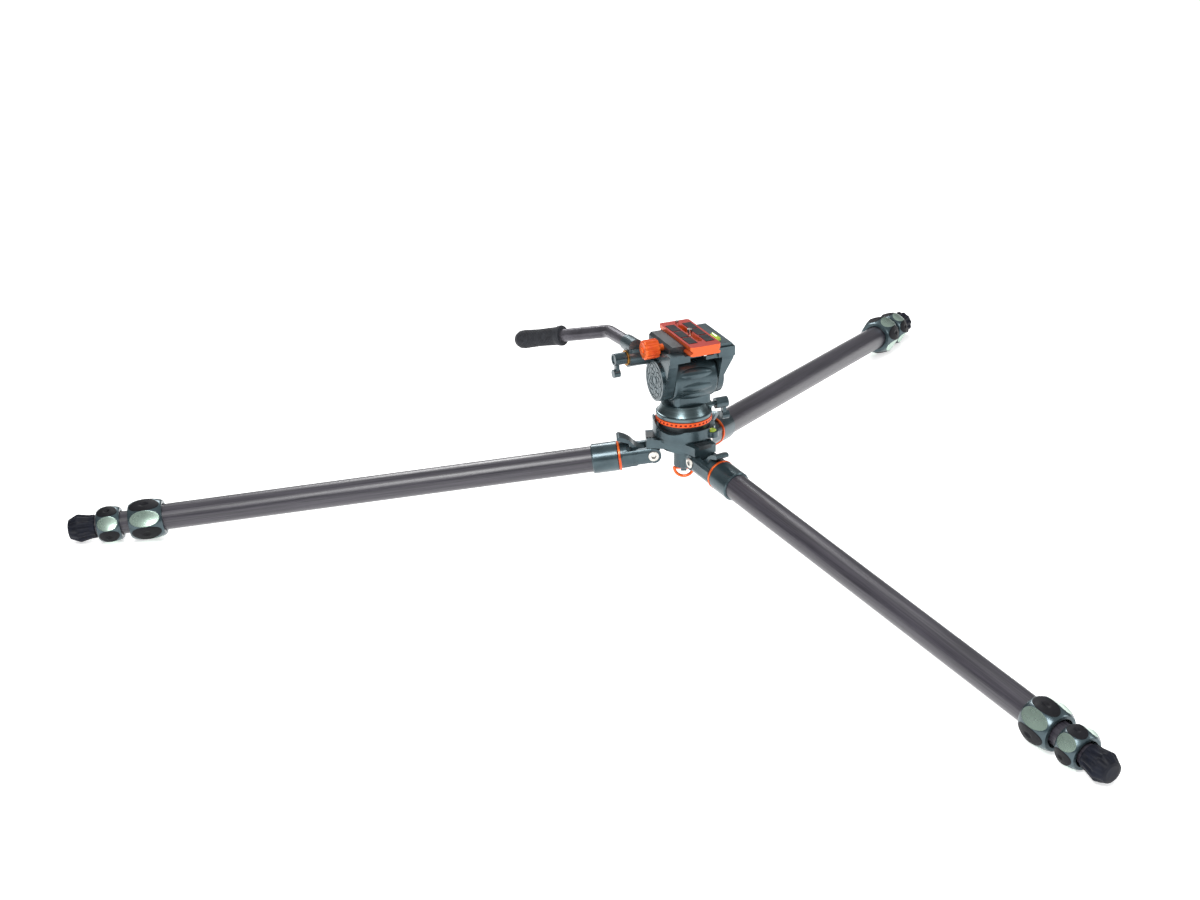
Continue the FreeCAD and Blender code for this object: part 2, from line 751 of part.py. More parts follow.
def star():
    """The three-armed plate of the apex."""
    half = S.arm_width / 2
    reach = S.arm_reach
    points = []
    for azimuth in sorted(LEGS.values()):
        c = math.cos(math.radians(azimuth))
        s = math.sin(math.radians(azimuth))
        points.append((reach * c + half * s, reach * s - half * c))
        points.append((reach * c - half * s, reach * s + half * c, -72.0))
    body = DOC.addObject("PartDesign::Body", "star")
    sketch = draw(body, "XY_Plane", points)
    pad = body.newObject("PartDesign::Pad", "star_pad")
    pad.Profile = sketch
    bind(pad, "Length", S.arm_thickness)
    lifted = group("star_lifted", body)
    bind(lifted, "Placement.Base.z", ARM_BOTTOM)
    return lifted


def lug(leg, azimuth):
    """Tongue that hangs from an arm into a casting's slot."""
    name = f"lug_{leg}"
    half = S.lug_width / 2
    near = S.hinge_radius - S.lug_radius
    far = S.hinge_radius + S.lug_radius
    root = block(name + "_root", (near, -half, S.hinge_height), (far, half, ARM_BOTTOM + 1.0))
    tip = rod(name + "_tip", "Y", S.lug_radius, (S.hinge_radius, -half, S.hinge_height), S.lug_width)
    made = fuse(name, root, tip)
    made.Placement = Placement(Vector(), Rotation(Vector(0, 0, 1), azimuth))
    return made


def pocket(leg, azimuth, play):
    """Room on top of an arm for its stop rack, or the rack itself when play is 0."""
    name = f"rack_{leg}_{int(play * 10)}"
    half = 9.0 + play
    low = (S.arm_reach - 11.0 - play, -half, ARM_TOP - 4.0)
    made = block(name, low, (S.arm_reach + 4.0 * play, half, ARM_TOP + 1.2 + 9.0 * play))
    made = group(name + "_turned", made)
    made.Placement = Placement(Vector(), Rotation(Vector(0, 0, 1), azimuth))
    return made


BUBBLE_AT = (-60.0, 38.0)


def bubble_spot():
    angle, radius = BUBBLE_AT
    return radius * math.cos(math.radians(angle)), radius * math.sin(math.radians(angle))


def apex():
    """Cast apex: arms, lugs, levelling bowl, waved rim and the lobe for its bubble level."""
    x, y = bubble_spot()
    shell = cut(
        "bowl_shell",
        ball("bowl_outside", BOWL_OUT, (0, 0, BALL_Z)),
        block("bowl_above", (-60, -60, RIM_Z), (60, 60, RIM_Z + 60.0)),
    )
    rim_foot = RIM_Z - 8.0
    outside = fuse(
        "apex_outside",
        star(),
        rod("hub", "Z", S.hub_radius - 5.0, (0, 0, ARM_BOTTOM - 3.5), S.arm_thickness + 3.0),
        rod("deck_disc", "Z", S.hub_radius + 1.5, (0, 0, ARM_TOP - 2.0), 5.5),
        shell,
        rod("rim", "Z", S.rim_radius, (0, 0, rim_foot), S.rim_dip + S.rim_high + 8.0),
        rod("lobe", "Z", 8.2, (x, y, rim_foot), 7.0),
        *[lug(leg, azimuth) for leg, azimuth in LEGS.items()],
    )
    dip = 38.0
    dips = []
    for leg, azimuth in LEGS.items():
        wave = rod(f"dip_{leg}", "X", dip, (0, 0, RIM_Z + dip), 60)
        wave = group(f"dip_{leg}_turned", wave)
        wave.Placement = Placement(Vector(), Rotation(Vector(0, 0, 1), azimuth + 60))
        dips.append(wave)
    hole = BOWL_OUT * math.sin(math.radians(12)) + S.draw_bolt_radius + 0.7
    pins = []
    for leg, azimuth in LEGS.items():
        bore = rod(f"pin_bore_{leg}", "Y", S.hinge_pin_radius + 0.02, (0, -30, 0), 60)
        bore = group(f"pin_bore_{leg}_turned", bore)
        bore.Placement = leg_frame(azimuth)
        pins.append(bore)
    return cut(
        "apex_casting",
        outside,
        ball("bowl_inside", BOWL_IN, (0, 0, BALL_Z)),
        rod("rim_inside", "Z", S.rim_radius - S.rim_wall, (0, 0, RIM_Z), 40),
        block("low_front", (-60, -60, BALL_Z - 3.5), (60, -22, BALL_Z + 40.0)),
        rod("draw_hole", "Z", hole, (0, 0, ARM_BOTTOM - 20.0), 30),
        rod("bubble_seat", "Z", 5.6, (x, y, rim_foot + 3.0), 10),
        *dips,
        *pins,
        *[pocket(leg, azimuth, S.shaft_play) for leg, azimuth in LEGS.items()],
    )


def stop_rack(leg, azimuth):
    """Black rack in an arm's end, with two notches across."""
    base = pocket(leg, azimuth, Size(0.0, "0"))
    notches = []
    for number in (1, 2):
        x = S.arm_reach - 11.0 + 3.6 * number
        notches.append(block(f"notch_{leg}_{number}", (x, -12, ARM_TOP), (x + 1.4, 12, ARM_TOP + 3.0)))
    both = group(f"notches_{leg}", *notches)
    both.Placement = Placement(Vector(), Rotation(Vector(0, 0, 1), azimuth))
    return cut(f"stop_rack_{leg}", base, both)


def level_ball():
    """Levelling ball with its pan spigot and the draw bolt down to the lock knob."""
    sphere = cut(
        "ball_flat",
        ball("ball_sphere", S.ball_radius, (0, 0, BALL_Z)),
        block("ball_above", (-50, -50, RING_Z), (50, 50, RING_Z + 50.0)),
    )
    return fuse(
        "ball_solid",
        sphere,
        rod("ball_seat", "Z", S.ball_radius - 2.5, (0, 0, BALL_Z), PAN_Z - BALL_Z),
        rod("pan_spigot", "Z", 11.0, (0, 0, BALL_Z), PAN_TOP - 4.0 - BALL_Z),
        rod("draw_bolt", "Z", S.draw_bolt_radius, (0, 0, KNOB_BOTTOM + 4.0), BALL_Z - KNOB_BOTTOM - 4.0),
    )


KNOB_CLEAR = BOWL_OUT + 3.0
KNOB_TOP = BALL_Z - KNOB_CLEAR
KNOB_BOTTOM = KNOB_TOP - S.level_knob_length
HOOK_PIVOT = KNOB_BOTTOM - 3.6


def level_liner():
    """Thin nylon cup between bowl and ball."""
    return cut(
        "liner_cup",
        ball("liner_outside", LINER_OUT, (0, 0, BALL_Z)),
        ball("liner_inside", LINER_IN, (0, 0, BALL_Z)),
        block("liner_above", (-50, -50, RIM_Z), (50, 50, RIM_Z + 60.0)),
        rod("liner_hole", "Z", 13.5, (0, 0, BALL_Z - 50.0), 50),
    )


def level_knob():
    """Lock knob on the draw bolt, dished on top to clear the bowl, with the hook's eye below."""
    barrel_part = turned(
        "level_knob_turn",
        "Z",
        [
            (S.draw_bolt_radius + 0.1, KNOB_BOTTOM + 3.9),
            (0, KNOB_BOTTOM + 3.9),
            (0, KNOB_BOTTOM),
            (S.level_knob_radius - 1.2, KNOB_BOTTOM),
            (S.level_knob_radius, KNOB_BOTTOM + 1.2),
            (S.level_knob_radius, KNOB_TOP + 3.0),
            (S.draw_bolt_radius + 0.1, KNOB_TOP + 3.0),
        ],
    )
    eye = block("hook_eye", (-3.5, -3.6, HOOK_PIVOT - 3.0), (3.5, 3.6, KNOB_BOTTOM + 0.5))
    solid = fuse("level_knob_solid", barrel_part, eye)
    grooves = []
    for number in range(12):
        angle = math.radians(30 * number)
        reach = S.level_knob_radius + 0.9
        spot = (reach * math.cos(angle), reach * math.sin(angle), KNOB_BOTTOM - 1.0)
        grooves.append(rod(f"knob_groove_{number}", "Z", 1.6, spot, 9.0))
    return cut(
        "level_knob_piece",
        solid,
        ball("knob_dish", KNOB_CLEAR, (0, 0, BALL_Z)),
        rod("hook_hole", "X", S.hook_wire / 2 + S.shaft_play, (-8, 0, HOOK_PIVOT), 16),
        *grooves,
    )


# The knob rests with its hook turned this far about +Z.
HOOK_TURN = -34.0


def hook_ring():
    """Wire loop for a ballast bag, on its own straight pivot bar."""
    wire = float(S.hook_wire) / 2
    half = float(S.hook_width) / 2 - wire
    low = float(S.hook_drop) - 2 * wire
    z = float(HOOK_PIVOT)
    a, b, c = Vector(-half, 0, z), Vector(0, 0, z - low), Vector(half, 0, z)
    arc = Part.Arc(a, b, c).toShape()
    start = arc.tangentAt(arc.FirstParameter)
    profile = Part.Wire(Part.Circle(a, start, wire).toShape())
    loop = Part.Wire([arc]).makePipeShell([profile], True, True)
    bar = Part.makeCylinder(wire, 2 * half, a, Vector(1, 0, 0))
    solid = loop.fuse([bar, Part.makeSphere(wire, a), Part.makeSphere(wire, c)])
    return shaped("hook_ring_loop", solid.removeSplitter())


# ---------------------------------------------------------------- head


def pan_base():
    """Turned pan base over the spigot, with a bore for its lock screw."""
    shape = turned(
        "pan_base_turn",
        "Z",
        [
            (11.1, PAN_Z + 0.3),
            (S.pan_base_radius - 0.8, PAN_Z + 0.3),
            (S.pan_base_radius, PAN_Z + 1.1),
            (S.pan_base_radius, PAN_Z + 4.6),
            (S.pan_base_radius - 0.8, PAN_Z + 5.4),
            (S.pan_base_radius - 1.8, PAN_Z + 5.8, -60.0),
            (S.pan_base_radius - 6.8, PAN_TOP - 1.0),
            (S.pan_base_radius - 7.8, PAN_TOP),
            (11.1, PAN_TOP),
        ],
    )
    z = PAN_Z + 6.2
    boss = rod("pan_boss", "X", 5.6, (24, 0, z), 12)
    bore = rod("pan_bore", "X", 3.0 + S.shaft_play, (10, 0, z), 40)
    spigot = rod("pan_hollow", "Z", 11.1, (0, 0, PAN_Z - 2.0), S.pan_base_height - 1.8)
    return cut("pan_base_piece", fuse("pan_base_solid", shape, boss), bore, spigot)


def lever(name, hub, shaft, drop, spread):
    """A lock lever about +X from its hub's inner end: shaft inwards, hub, and an arm with a
    small round end, offset outwards by spread."""
    reach, radius = hub
    long, thin = shaft
    outer = reach - 5.5
    arm = block(name + "_arm", (outer - 1.0, -3.2, -drop), (outer + 3.4, 3.2, 0))
    end = rod(name + "_end", "X", 5.2, (outer - 2.0, 0, -drop), 5.4 + spread)
    solid = fuse(
        name + "_solid",
        rod(name + "_hub", "X", radius, (0, 0, 0), reach),
        rod(name + "_shaft", "X", thin, (-long, 0, 0), long + 1.0),
        arm,
        end,
    )
    return cut(name + "_piece", solid, rod(name + "_dish", "X", radius - 2.2, (reach - 1.2, 0, 0), 5))


def front_corner(edge):
    """True for a straight edge along Z on the front side."""
    a, b = edge.Vertexes[0].Point, edge.Vertexes[-1].Point
    return abs(a.x - b.x) < 0.01 and abs(a.y - b.y) < 0.01 and a.y < 0


def tilt_housing():
    """Fluid-drag housing: drum, pedestal and three swelling ribs across the front."""
    radius = S.housing_radius
    start = S.head_offset - S.housing_width / 2
    half = radius - 5.0
    end = start + S.housing_width
    drum = turned(
        "drum",
        "X",
        [
            (start, 0),
            (start, radius - 3.0, -3.0),
            (start + 3.0, radius),
            (end - 3.0, radius, -3.0),
            (end, radius - 3.0),
            (end, 0),
        ],
    )
    drum = group("drum_placed", drum)
    bind(drum, "Placement.Base.z", TILT_Z)
    foot_block = block("pedestal_block", (start + 4.0, 9.0 - radius, PAN_TOP), (end - 4.0, half, TILT_Z))
    pedestal = rounded("pedestal", foot_block, 7.0, front_corner)
    ribs = []
    for number, angle in enumerate((24, -14, -50)):
        y = -(radius - 6.3) * math.cos(math.radians(angle))
        z = TILT_Z + (radius - 6.3) * math.sin(math.radians(angle))
        name = f"rib_{number}"
        outline = [(start + 2.0, 0), (start + 2.0, 4.8, -90.0), (end - 2.0, 4.8), (end - 2.0, 0)]
        rib = group(name, turned(name + "_turn", "X", outline))
        move_to(rib, 0, y, z)
        ribs.append(rib)
    body = fuse("housing_solid", drum, pedestal, *ribs)
    wide = S.housing_width + 4.0
    bore = rod("axle_bore", "X", S.axle_radius + S.shaft_play, (start - 2.0, 0, TILT_Z), wide)
    lock = rod("tilt_lock_bore", "Y", 3.0 + S.shaft_play, (TILT_LOCK_X, 6.0, TILT_LOCK_Z), 40)
    return cut("housing_piece", body, bore, lock)


TILT_LOCK_X = S.head_offset + 12.0
TILT_LOCK_Z = TILT_Z - 22.0
KNUCKLE_Z = TILT_Z + S.knuckle_up
KNUCKLE_OUT = ARM_OUT_LEFT - 3.9
CLAMP_Z = DECK_TOP + 4.6
CLAMP_Y = -5.5


def arm(name, start, thick):
    """One side arm of the cradle, from the tilt axis up to the deck."""
    half = S.deck_length / 2
    low = padded(
        name + "_web",
        "YZ_Plane",
        [
            (-S.housing_radius + 2.4, TILT_Z - 4.0),
            (S.housing_radius - 2.4, TILT_Z - 4.0),
            (half, DECK_Z - 4.0),
            (half, DECK_TOP),
            (-half, DECK_TOP),
            (-half, DECK_Z - 4.0),
        ],
        thick,
    )
    web = group(name + "_web_placed", low)
    bind(web, "Placement.Base.x", start + thick / 2)
    disc = rod(name + "_disc", "X", S.housing_radius - 2.0, (start, 0, TILT_Z), thick)
    return fuse(name, web, disc)


def right_slope():
    """What is taken off the right arm so that it thins towards the axle."""
    wedge = padded(
        "right_slope_wedge",
        "XZ_Plane",
        [
            (ARM_FOOT_RIGHT, TILT_Z - 60.0),
            (ARM_OUT_RIGHT + 20.0, TILT_Z - 60.0),
            (ARM_OUT_RIGHT + 20.0, DECK_Z),
            (ARM_OUT_RIGHT, DECK_Z),
            (ARM_FOOT_RIGHT, TILT_Z),
        ],
        S.deck_length + 20.0,
    )
    seat = rod("right_cover_seat", "X", S.housing_radius - 2.3, (ARM_FOOT_RIGHT, 0, TILT_Z), 40)
    return wedge, seat


def fixed_jaw():
    """Dovetail lip along the right of the deck."""
    edge = PLATE_X + S.plate_width / 2
    rail = padded(
        "fixed_jaw_rail",
        "XZ_Plane",
        [
            (edge + 0.3, DECK_TOP - 1.0),
            (ARM_OUT_RIGHT, DECK_TOP - 1.0),
            (ARM_OUT_RIGHT, DECK_TOP + 5.0),
            (ARM_OUT_RIGHT - 4.0, DECK_TOP + 9.5),
            (edge + 0.3, DECK_TOP + 9.5),
            (edge - 2.6, PLATE_Z + 4.9),
            (edge - 2.6, PLATE_Z + 4.3),
            (edge + 0.3, PLATE_Z + 1.8),
        ],
        S.deck_length,
    )
    return rail


def cradle():
    """Tilting cradle: two side arms, the deck over them, the fixed jaw, the handle's boss, and
    the steel tilt axle pressed through both arms."""
    half = S.deck_length / 2
    deck = block("deck", (ARM_OUT_LEFT, -half, DECK_Z), (ARM_OUT_RIGHT, half, DECK_TOP))
    horn = block(
        "left_horn",
        (ARM_OUT_LEFT, -half - 3.0, DECK_Z + 1.0),
        (PLATE_X - S.plate_width / 2 - 5.0, -half + 9.0, DECK_TOP + 3.0),
    )
    horn_right = block(
        "right_horn",
        (PLATE_X + S.plate_width / 2 + 0.3, -half - 3.0, DECK_Z + 1.0),
        (ARM_OUT_RIGHT, -half + 9.0, DECK_TOP + 5.0),
    )
    boss = rod("handle_boss", "X", 9.0, (KNUCKLE_OUT + 0.3, S.knuckle_back, KNUCKLE_Z), 8)
    solid = fuse(
        "cradle_solid",
        arm("left_arm", ARM_OUT_LEFT, S.side_arm),
        arm("right_arm", ARM_IN_RIGHT, S.right_arm_top),
        deck,
        horn,
        horn_right,
        fixed_jaw(),
        boss,
    )
    edge = PLATE_X - S.plate_width / 2
    channel = block(
        "deck_channel",
        (edge + 5.0, -60, DECK_TOP - 3.5),
        (PLATE_X + S.plate_width / 2 - 5.0, 60, DECK_TOP + 1.0),
    )
    notch = block(
        "deck_notch", (PLATE_X - 16.0, -60, DECK_Z - 1.0), (PLATE_X + 5.0, 12.0 - half, DECK_TOP)
    )
    plate_room = block(
        "plate_room",
        (edge - 0.3, -80, PLATE_Z - 0.5),
        (PLATE_X + S.plate_width / 2 - 2.6, 80, PLATE_TOP + 5.0),
    )
    axle = rod("cradle_axle_bore", "X", S.axle_radius + 0.02, (ARM_OUT_LEFT - 1.0, 0, TILT_Z), 100)
    lever_bore = rod("cradle_lever_bore", "X", 3.9 + S.shaft_play, (-60, S.knuckle_back, KNUCKLE_Z), 30)
    jaw_room = block(
        "jaw_room",
        (edge - S.jaw_width - 6.6, -half + 9.3, DECK_TOP),
        (edge, half + 10.0, DECK_TOP + 30.0),
    )
    casting = cut(
        "cradle_piece", solid, channel, notch, plate_room, axle, lever_bore, jaw_room, *right_slope()
    )
    length = ARM_FOOT_RIGHT - ARM_OUT_LEFT - 0.6
    pin = rod("tilt_axle", "X", S.axle_radius, (ARM_OUT_LEFT + 0.3, 0, TILT_Z), length)
    return group("cradle_and_axle", casting, pin)


def side_cover(name, start, outwards):
    """Round cover over an end of the tilt axle, with an iris of shallow arcs."""
    disc = rod(name + "_disc", "X", S.housing_radius - 2.6, (start, 0, TILT_Z), 3.0)
    face = start + (3.0 if outwards > 0 else 0.0)
    arcs = []
    for number in range(8):
        angle = math.radians(45 * number)
        y, z = 8.6 * math.sin(angle), 8.6 * math.cos(angle)
        spot = (face - 0.8, y, TILT_Z + z)
        arcs.append(tube(f"{name}_arc_{number}", "X", 14.2, 13.0, spot, 1.6))
    notch = rod(name + "_notch", "X", 9.4, (start - 10.0, S.knuckle_back, KNUCKLE_Z), 20)
    return cut(name, disc, notch, *arcs)


def clamp_jaw():
    """Moving jaw along the left of the deck."""
    edge = PLATE_X - S.plate_width / 2
    outer = edge - S.jaw_width
    length = S.deck_length - 10.0
    body = padded(
        "jaw_body",
        "XZ_Plane",
        [
            (outer, DECK_TOP + 0.3),
            (edge - 0.3, DECK_TOP + 0.3),
            (edge - 0.3, PLATE_Z + 1.8),
            (edge + 2.6, PLATE_Z + 4.3),
            (edge + 2.6, PLATE_Z + 4.9),
            (edge - 0.3, DECK_TOP + S.jaw_height),
            (outer + 3.0, DECK_TOP + S.jaw_height),
            (outer, DECK_TOP + S.jaw_height - 3.0),
        ],
        length,
    )
    placed = group("jaw_placed", body)
    placed.Placement = Placement(Vector(0, 4.8, 0), Rotation())
    bore = rod("jaw_bore", "X", 2.5 + S.shaft_play, (outer - 1.0, CLAMP_Y, CLAMP_Z), S.jaw_width - 3.0)
    return cut("jaw_piece", placed, bore)


def clamp_knob():
    """Lobed knob and its screw, which run along the jaw."""
    inner = PLATE_X - S.plate_width / 2 - S.jaw_width
    end = inner - 7.5
    radius = S.clamp_knob_radius
    start = end - S.clamp_knob_length
    flutes = []
    for number in range(12):
        angle = math.radians(30 * number + 15)
        reach = radius + 0.7
        spot = (start + 2.0, reach * math.cos(angle), reach * math.sin(angle))
        flutes.append(rod(f"clamp_flute_{number}", "X", 1.7, spot, S.clamp_knob_length))
    shape = fuse(
        "clamp_knob_solid",
        rod("clamp_knob_body", "X", radius, (start, 0, 0), S.clamp_knob_length),
        rod("clamp_knob_neck", "X", 4.2, (start, 0, 0), inner - start - 0.3),
        rod("clamp_knob_screw", "X", 2.5, (start, 0, 0), inner - start + S.jaw_width - 5.5),
    )
    slot = block("clamp_slot", (start - 1.0, -1.3, -20), (start + 2.0, 1.3, 20))
    made = cut("clamp_knob_piece", shape, slot, *flutes)
    placed = group("clamp_knob_placed", made)
    placed.Placement = Placement(Vector(0, float(CLAMP_Y), float(CLAMP_Z)), Rotation())
    return group("clamp_knob_final", placed)


def release_plate():
    """Quick-release plate: dovetail grooves down its sides, a screw slot and bedded pads."""
    half = S.plate_width / 2
    left, right = PLATE_X - half, PLATE_X + half
    lip = 3.0
    section = padded(
        "plate_section",
        "XZ_Plane",
        [
            (left, PLATE_Z),
            (right, PLATE_Z),
            (right, PLATE_Z + 1.6),
            (right - lip, PLATE_Z + 4.2),
            (right - lip, PLATE_Z + 5.0),
            (right, PLATE_Z + 7.6),
            (right, PLATE_TOP),
            (left, PLATE_TOP),
            (left, PLATE_Z + 7.6),
            (left + lip, PLATE_Z + 5.0),
            (left + lip, PLATE_Z + 4.2),
            (left, PLATE_Z + 1.6),
        ],
        S.plate_length,
    )
    long, corner = S.plate_length / 2, 4.0
    plan = padded(
        "plate_plan",
        "XY_Plane",
        [
            (left + corner, -long),
            (right - corner, -long, corner),
            (right, -long + corner),
            (right, long - corner, corner),
            (right - corner, long),
            (left + corner, long, corner),
            (left, long - corner),
            (left, -long + corner, corner),
        ],
        PLATE_TOP * 2 + 10.0,
    )
    soft = common("plate_soft", section, plan)
    slot = fuse(
        "plate_slot",
        block("slot_middle", (PLATE_X - 3.4, -27, PLATE_Z - 1.0), (PLATE_X + 3.4, 27, PLATE_TOP + 1.0)),
        rod("slot_front", "Z", 3.4, (PLATE_X, -27, PLATE_Z - 1.0), S.plate_thickness + 2.0),
        rod("slot_back", "Z", 3.4, (PLATE_X, 27, PLATE_Z - 1.0), S.plate_thickness + 2.0),
    )
    recess = block(
        "slot_recess", (PLATE_X - 7.0, -31, PLATE_Z - 1.0), (PLATE_X + 7.0, 31, PLATE_Z + 5.0)
    )
    seats = [block(f"pad_seat_{i}", low, high) for i, (low, high) in enumerate(pad_boxes(0.1))]
    radius = S.video_pin_radius + 0.02
    start = (PLATE_X, VIDEO_PIN_Y, PLATE_TOP - 5.0)
    pin = rod("video_pin_bore", "Z", radius - 0.5, start, 9)
    stop = rod("stop_screw_bore", "Z", radius, (PLATE_X, STOP_SCREW_Y, PLATE_Z - 1.0), 5)
    return cut("plate_piece", soft, slot, recess, pin, stop, *seats)


VIDEO_PIN_Y = 37.0
STOP_SCREW_Y = -43.0


def pad_boxes(play):
    """The six rubber pads of the plate as (low, high) corners, grown by play."""
    half = S.plate_width / 2
    boxes = []
    for side in (-1, 1):
        a, b = PLATE_X + 5.6, PLATE_X + half - 3.2
        if side < 0:
            a, b = PLATE_X - half + 3.2, PLATE_X - 5.6
        for row in (-1, 0, 1):
            y = row * 23.6
            low = (a - play, y - 10.6 - play, PLATE_TOP - 1.1 - play)
            boxes.append((low, (b + play, y + 10.6 + play, PLATE_TOP + 0.5 + 10 * play)))
    return boxes


def camera_screw():
    """Quarter-inch screw and its slotted disc, free to turn in the plate's slot."""
    head = rod("screw_head", "Z", 6.4, (PLATE_X, 0, PLATE_Z + 0.6), 3.9)
    neck = rod("screw_neck", "Z", 2.5, (PLATE_X, 0, PLATE_Z + 1.0), S.plate_thickness + 1.0)
    rise = S.camera_screw_rise - 1.2
    thread = rod("screw_thread", "Z", S.camera_screw_radius, (PLATE_X, 0, PLATE_TOP + 1.2), rise)
    slot = block("screw_slot", (PLATE_X - 0.8, -8, PLATE_Z - 1.0), (PLATE_X + 0.8, 8, PLATE_Z + 2.0))
    return cut("screw_piece", fuse("screw_solid", head, neck, thread), slot)


def video_pin():
    """Anti-twist pin behind the camera screw, and the stop screw under the plate's front."""
    start = (PLATE_X, VIDEO_PIN_Y, PLATE_TOP - 5.0)
    neck = rod("video_pin_neck", "Z", S.video_pin_radius - 0.5, start, 6.5)
    start = (PLATE_X, VIDEO_PIN_Y, PLATE_TOP + 0.8)
    tip = rod("video_pin_tip", "Z", S.video_pin_radius, start, S.video_pin_rise - 0.8)
    pin = fuse("video_pin_rod", neck, tip)
    stop = rod("stop_screw_rod", "Z", S.video_pin_radius, (PLATE_X, STOP_SCREW_Y, PLATE_Z - 1.8), 5.6)
    return group("video_pin_piece", pin, stop)


def handle_knuckle():
    """Handle joint: a barrel across, and the socket that takes the pan bar."""
    out = KNUCKLE_OUT - S.knuckle_length
    spot = (out, S.knuckle_back, KNUCKLE_Z)
    barrel_part = rod("knuckle_barrel", "X", S.knuckle_radius, spot, S.knuckle_length)
    a, direction = bar_points()[0], bar_points()[1] - bar_points()[0]
    direction.normalize()
    socket = DOC.addObject("Part::Cylinder", "knuckle_socket")
    bind(socket, "Radius", S.bar_radius + 2.2)
    socket.Height = 27.0
    socket.Placement = Placement(a - direction * 1.5, Rotation(Vector(0, 0, 1), direction))
    hollow = DOC.addObject("Part::Cylinder", "knuckle_hollow")
    bind(hollow, "Radius", S.bar_radius + 0.03)
    hollow.Height = 60.0
    hollow.Placement = Placement(a, Rotation(Vector(0, 0, 1), direction))
    bore = rod("knuckle_bore", "X", 3.9 + S.shaft_play, (out - 1.0, S.knuckle_back, KNUCKLE_Z), 40)
    neck = block(
        "knuckle_neck",
        (BAR_X - 7.0, S.knuckle_back - 8.0, KNUCKLE_Z),
        (BAR_X + 7.0, S.knuckle_back + 8.0, KNUCKLE_Z + 12.5),
    )
    return cut("knuckle_piece", fuse("knuckle_solid", barrel_part, socket, neck), hollow, bore)


BAR_X = ARM_OUT_LEFT - 19.5
BAR_SLOPE = 4.6
BAR_TURN = Vector(-80, 114, -38).normalize()


def bar_points():
    """Root, bend and end of the pan bar."""
    slope = math.radians(BAR_SLOPE)
    root = Vector(BAR_X, float(S.knuckle_back) - 5.0, float(KNUCKLE_Z) + 13.1)
    bend = root + Vector(0, math.cos(slope), -math.sin(slope)) * float(S.bar_first)
    return root, bend, bend + BAR_TURN * float(S.bar_second)


def pan_bar():
    """Bent tube: straight from the knuckle, one bend outwards and down, straight to the grip."""
    root, bend, end = bar_points()
    first = (bend - root).normalize()
    half = first.getAngle(BAR_TURN) / 2
    back = float(S.bar_bend) * math.tan(half)
    a, c = bend - first * back, bend + BAR_TURN * back
    inward = (BAR_TURN - first).normalize()
    b = bend + inward * (float(S.bar_bend) * (1 / math.cos(half) - 1))
    edges = [Part.makeLine(root, a), Part.Arc(a, b, c).toShape(), Part.makeLine(c, end)]
    path = Part.Wire(edges)
    outer, inner = [
        path.makePipeShell([Part.Wire(Part.Circle(root, first, r).toShape())], True, True)
        for r in (float(S.bar_radius), float(S.bar_radius) - float(S.bar_wall))
    ]
    return shaped("pan_bar_tube", outer.cut(inner))


def grip():
    """Ribbed rubber grip, closed at its end, in its own frame along +X."""
    length = S.grip_length
    inside = S.bar_radius + 0.05
    big = S.grip_radius
    points = [(0, inside), (0, big + 0.4), (2.0, big + 1.2), (6.0, big + 0.6), (9.0, big)]
    ribs = 9
    for number in range(ribs):
        x = 11.0 + number * 5.4
        points += [(x, big), (x + 0.8, big - 0.8), (x + 1.8, big - 0.8), (x + 2.6, big)]
    points += [(length - 4.0, big, -9.0), (length + 2.5, big * 0.55), (length + 2.5, 0)]
    points += [(length + 0.1, 0), (length + 0.1, inside)]
    return turned("grip_turn", "X", points)


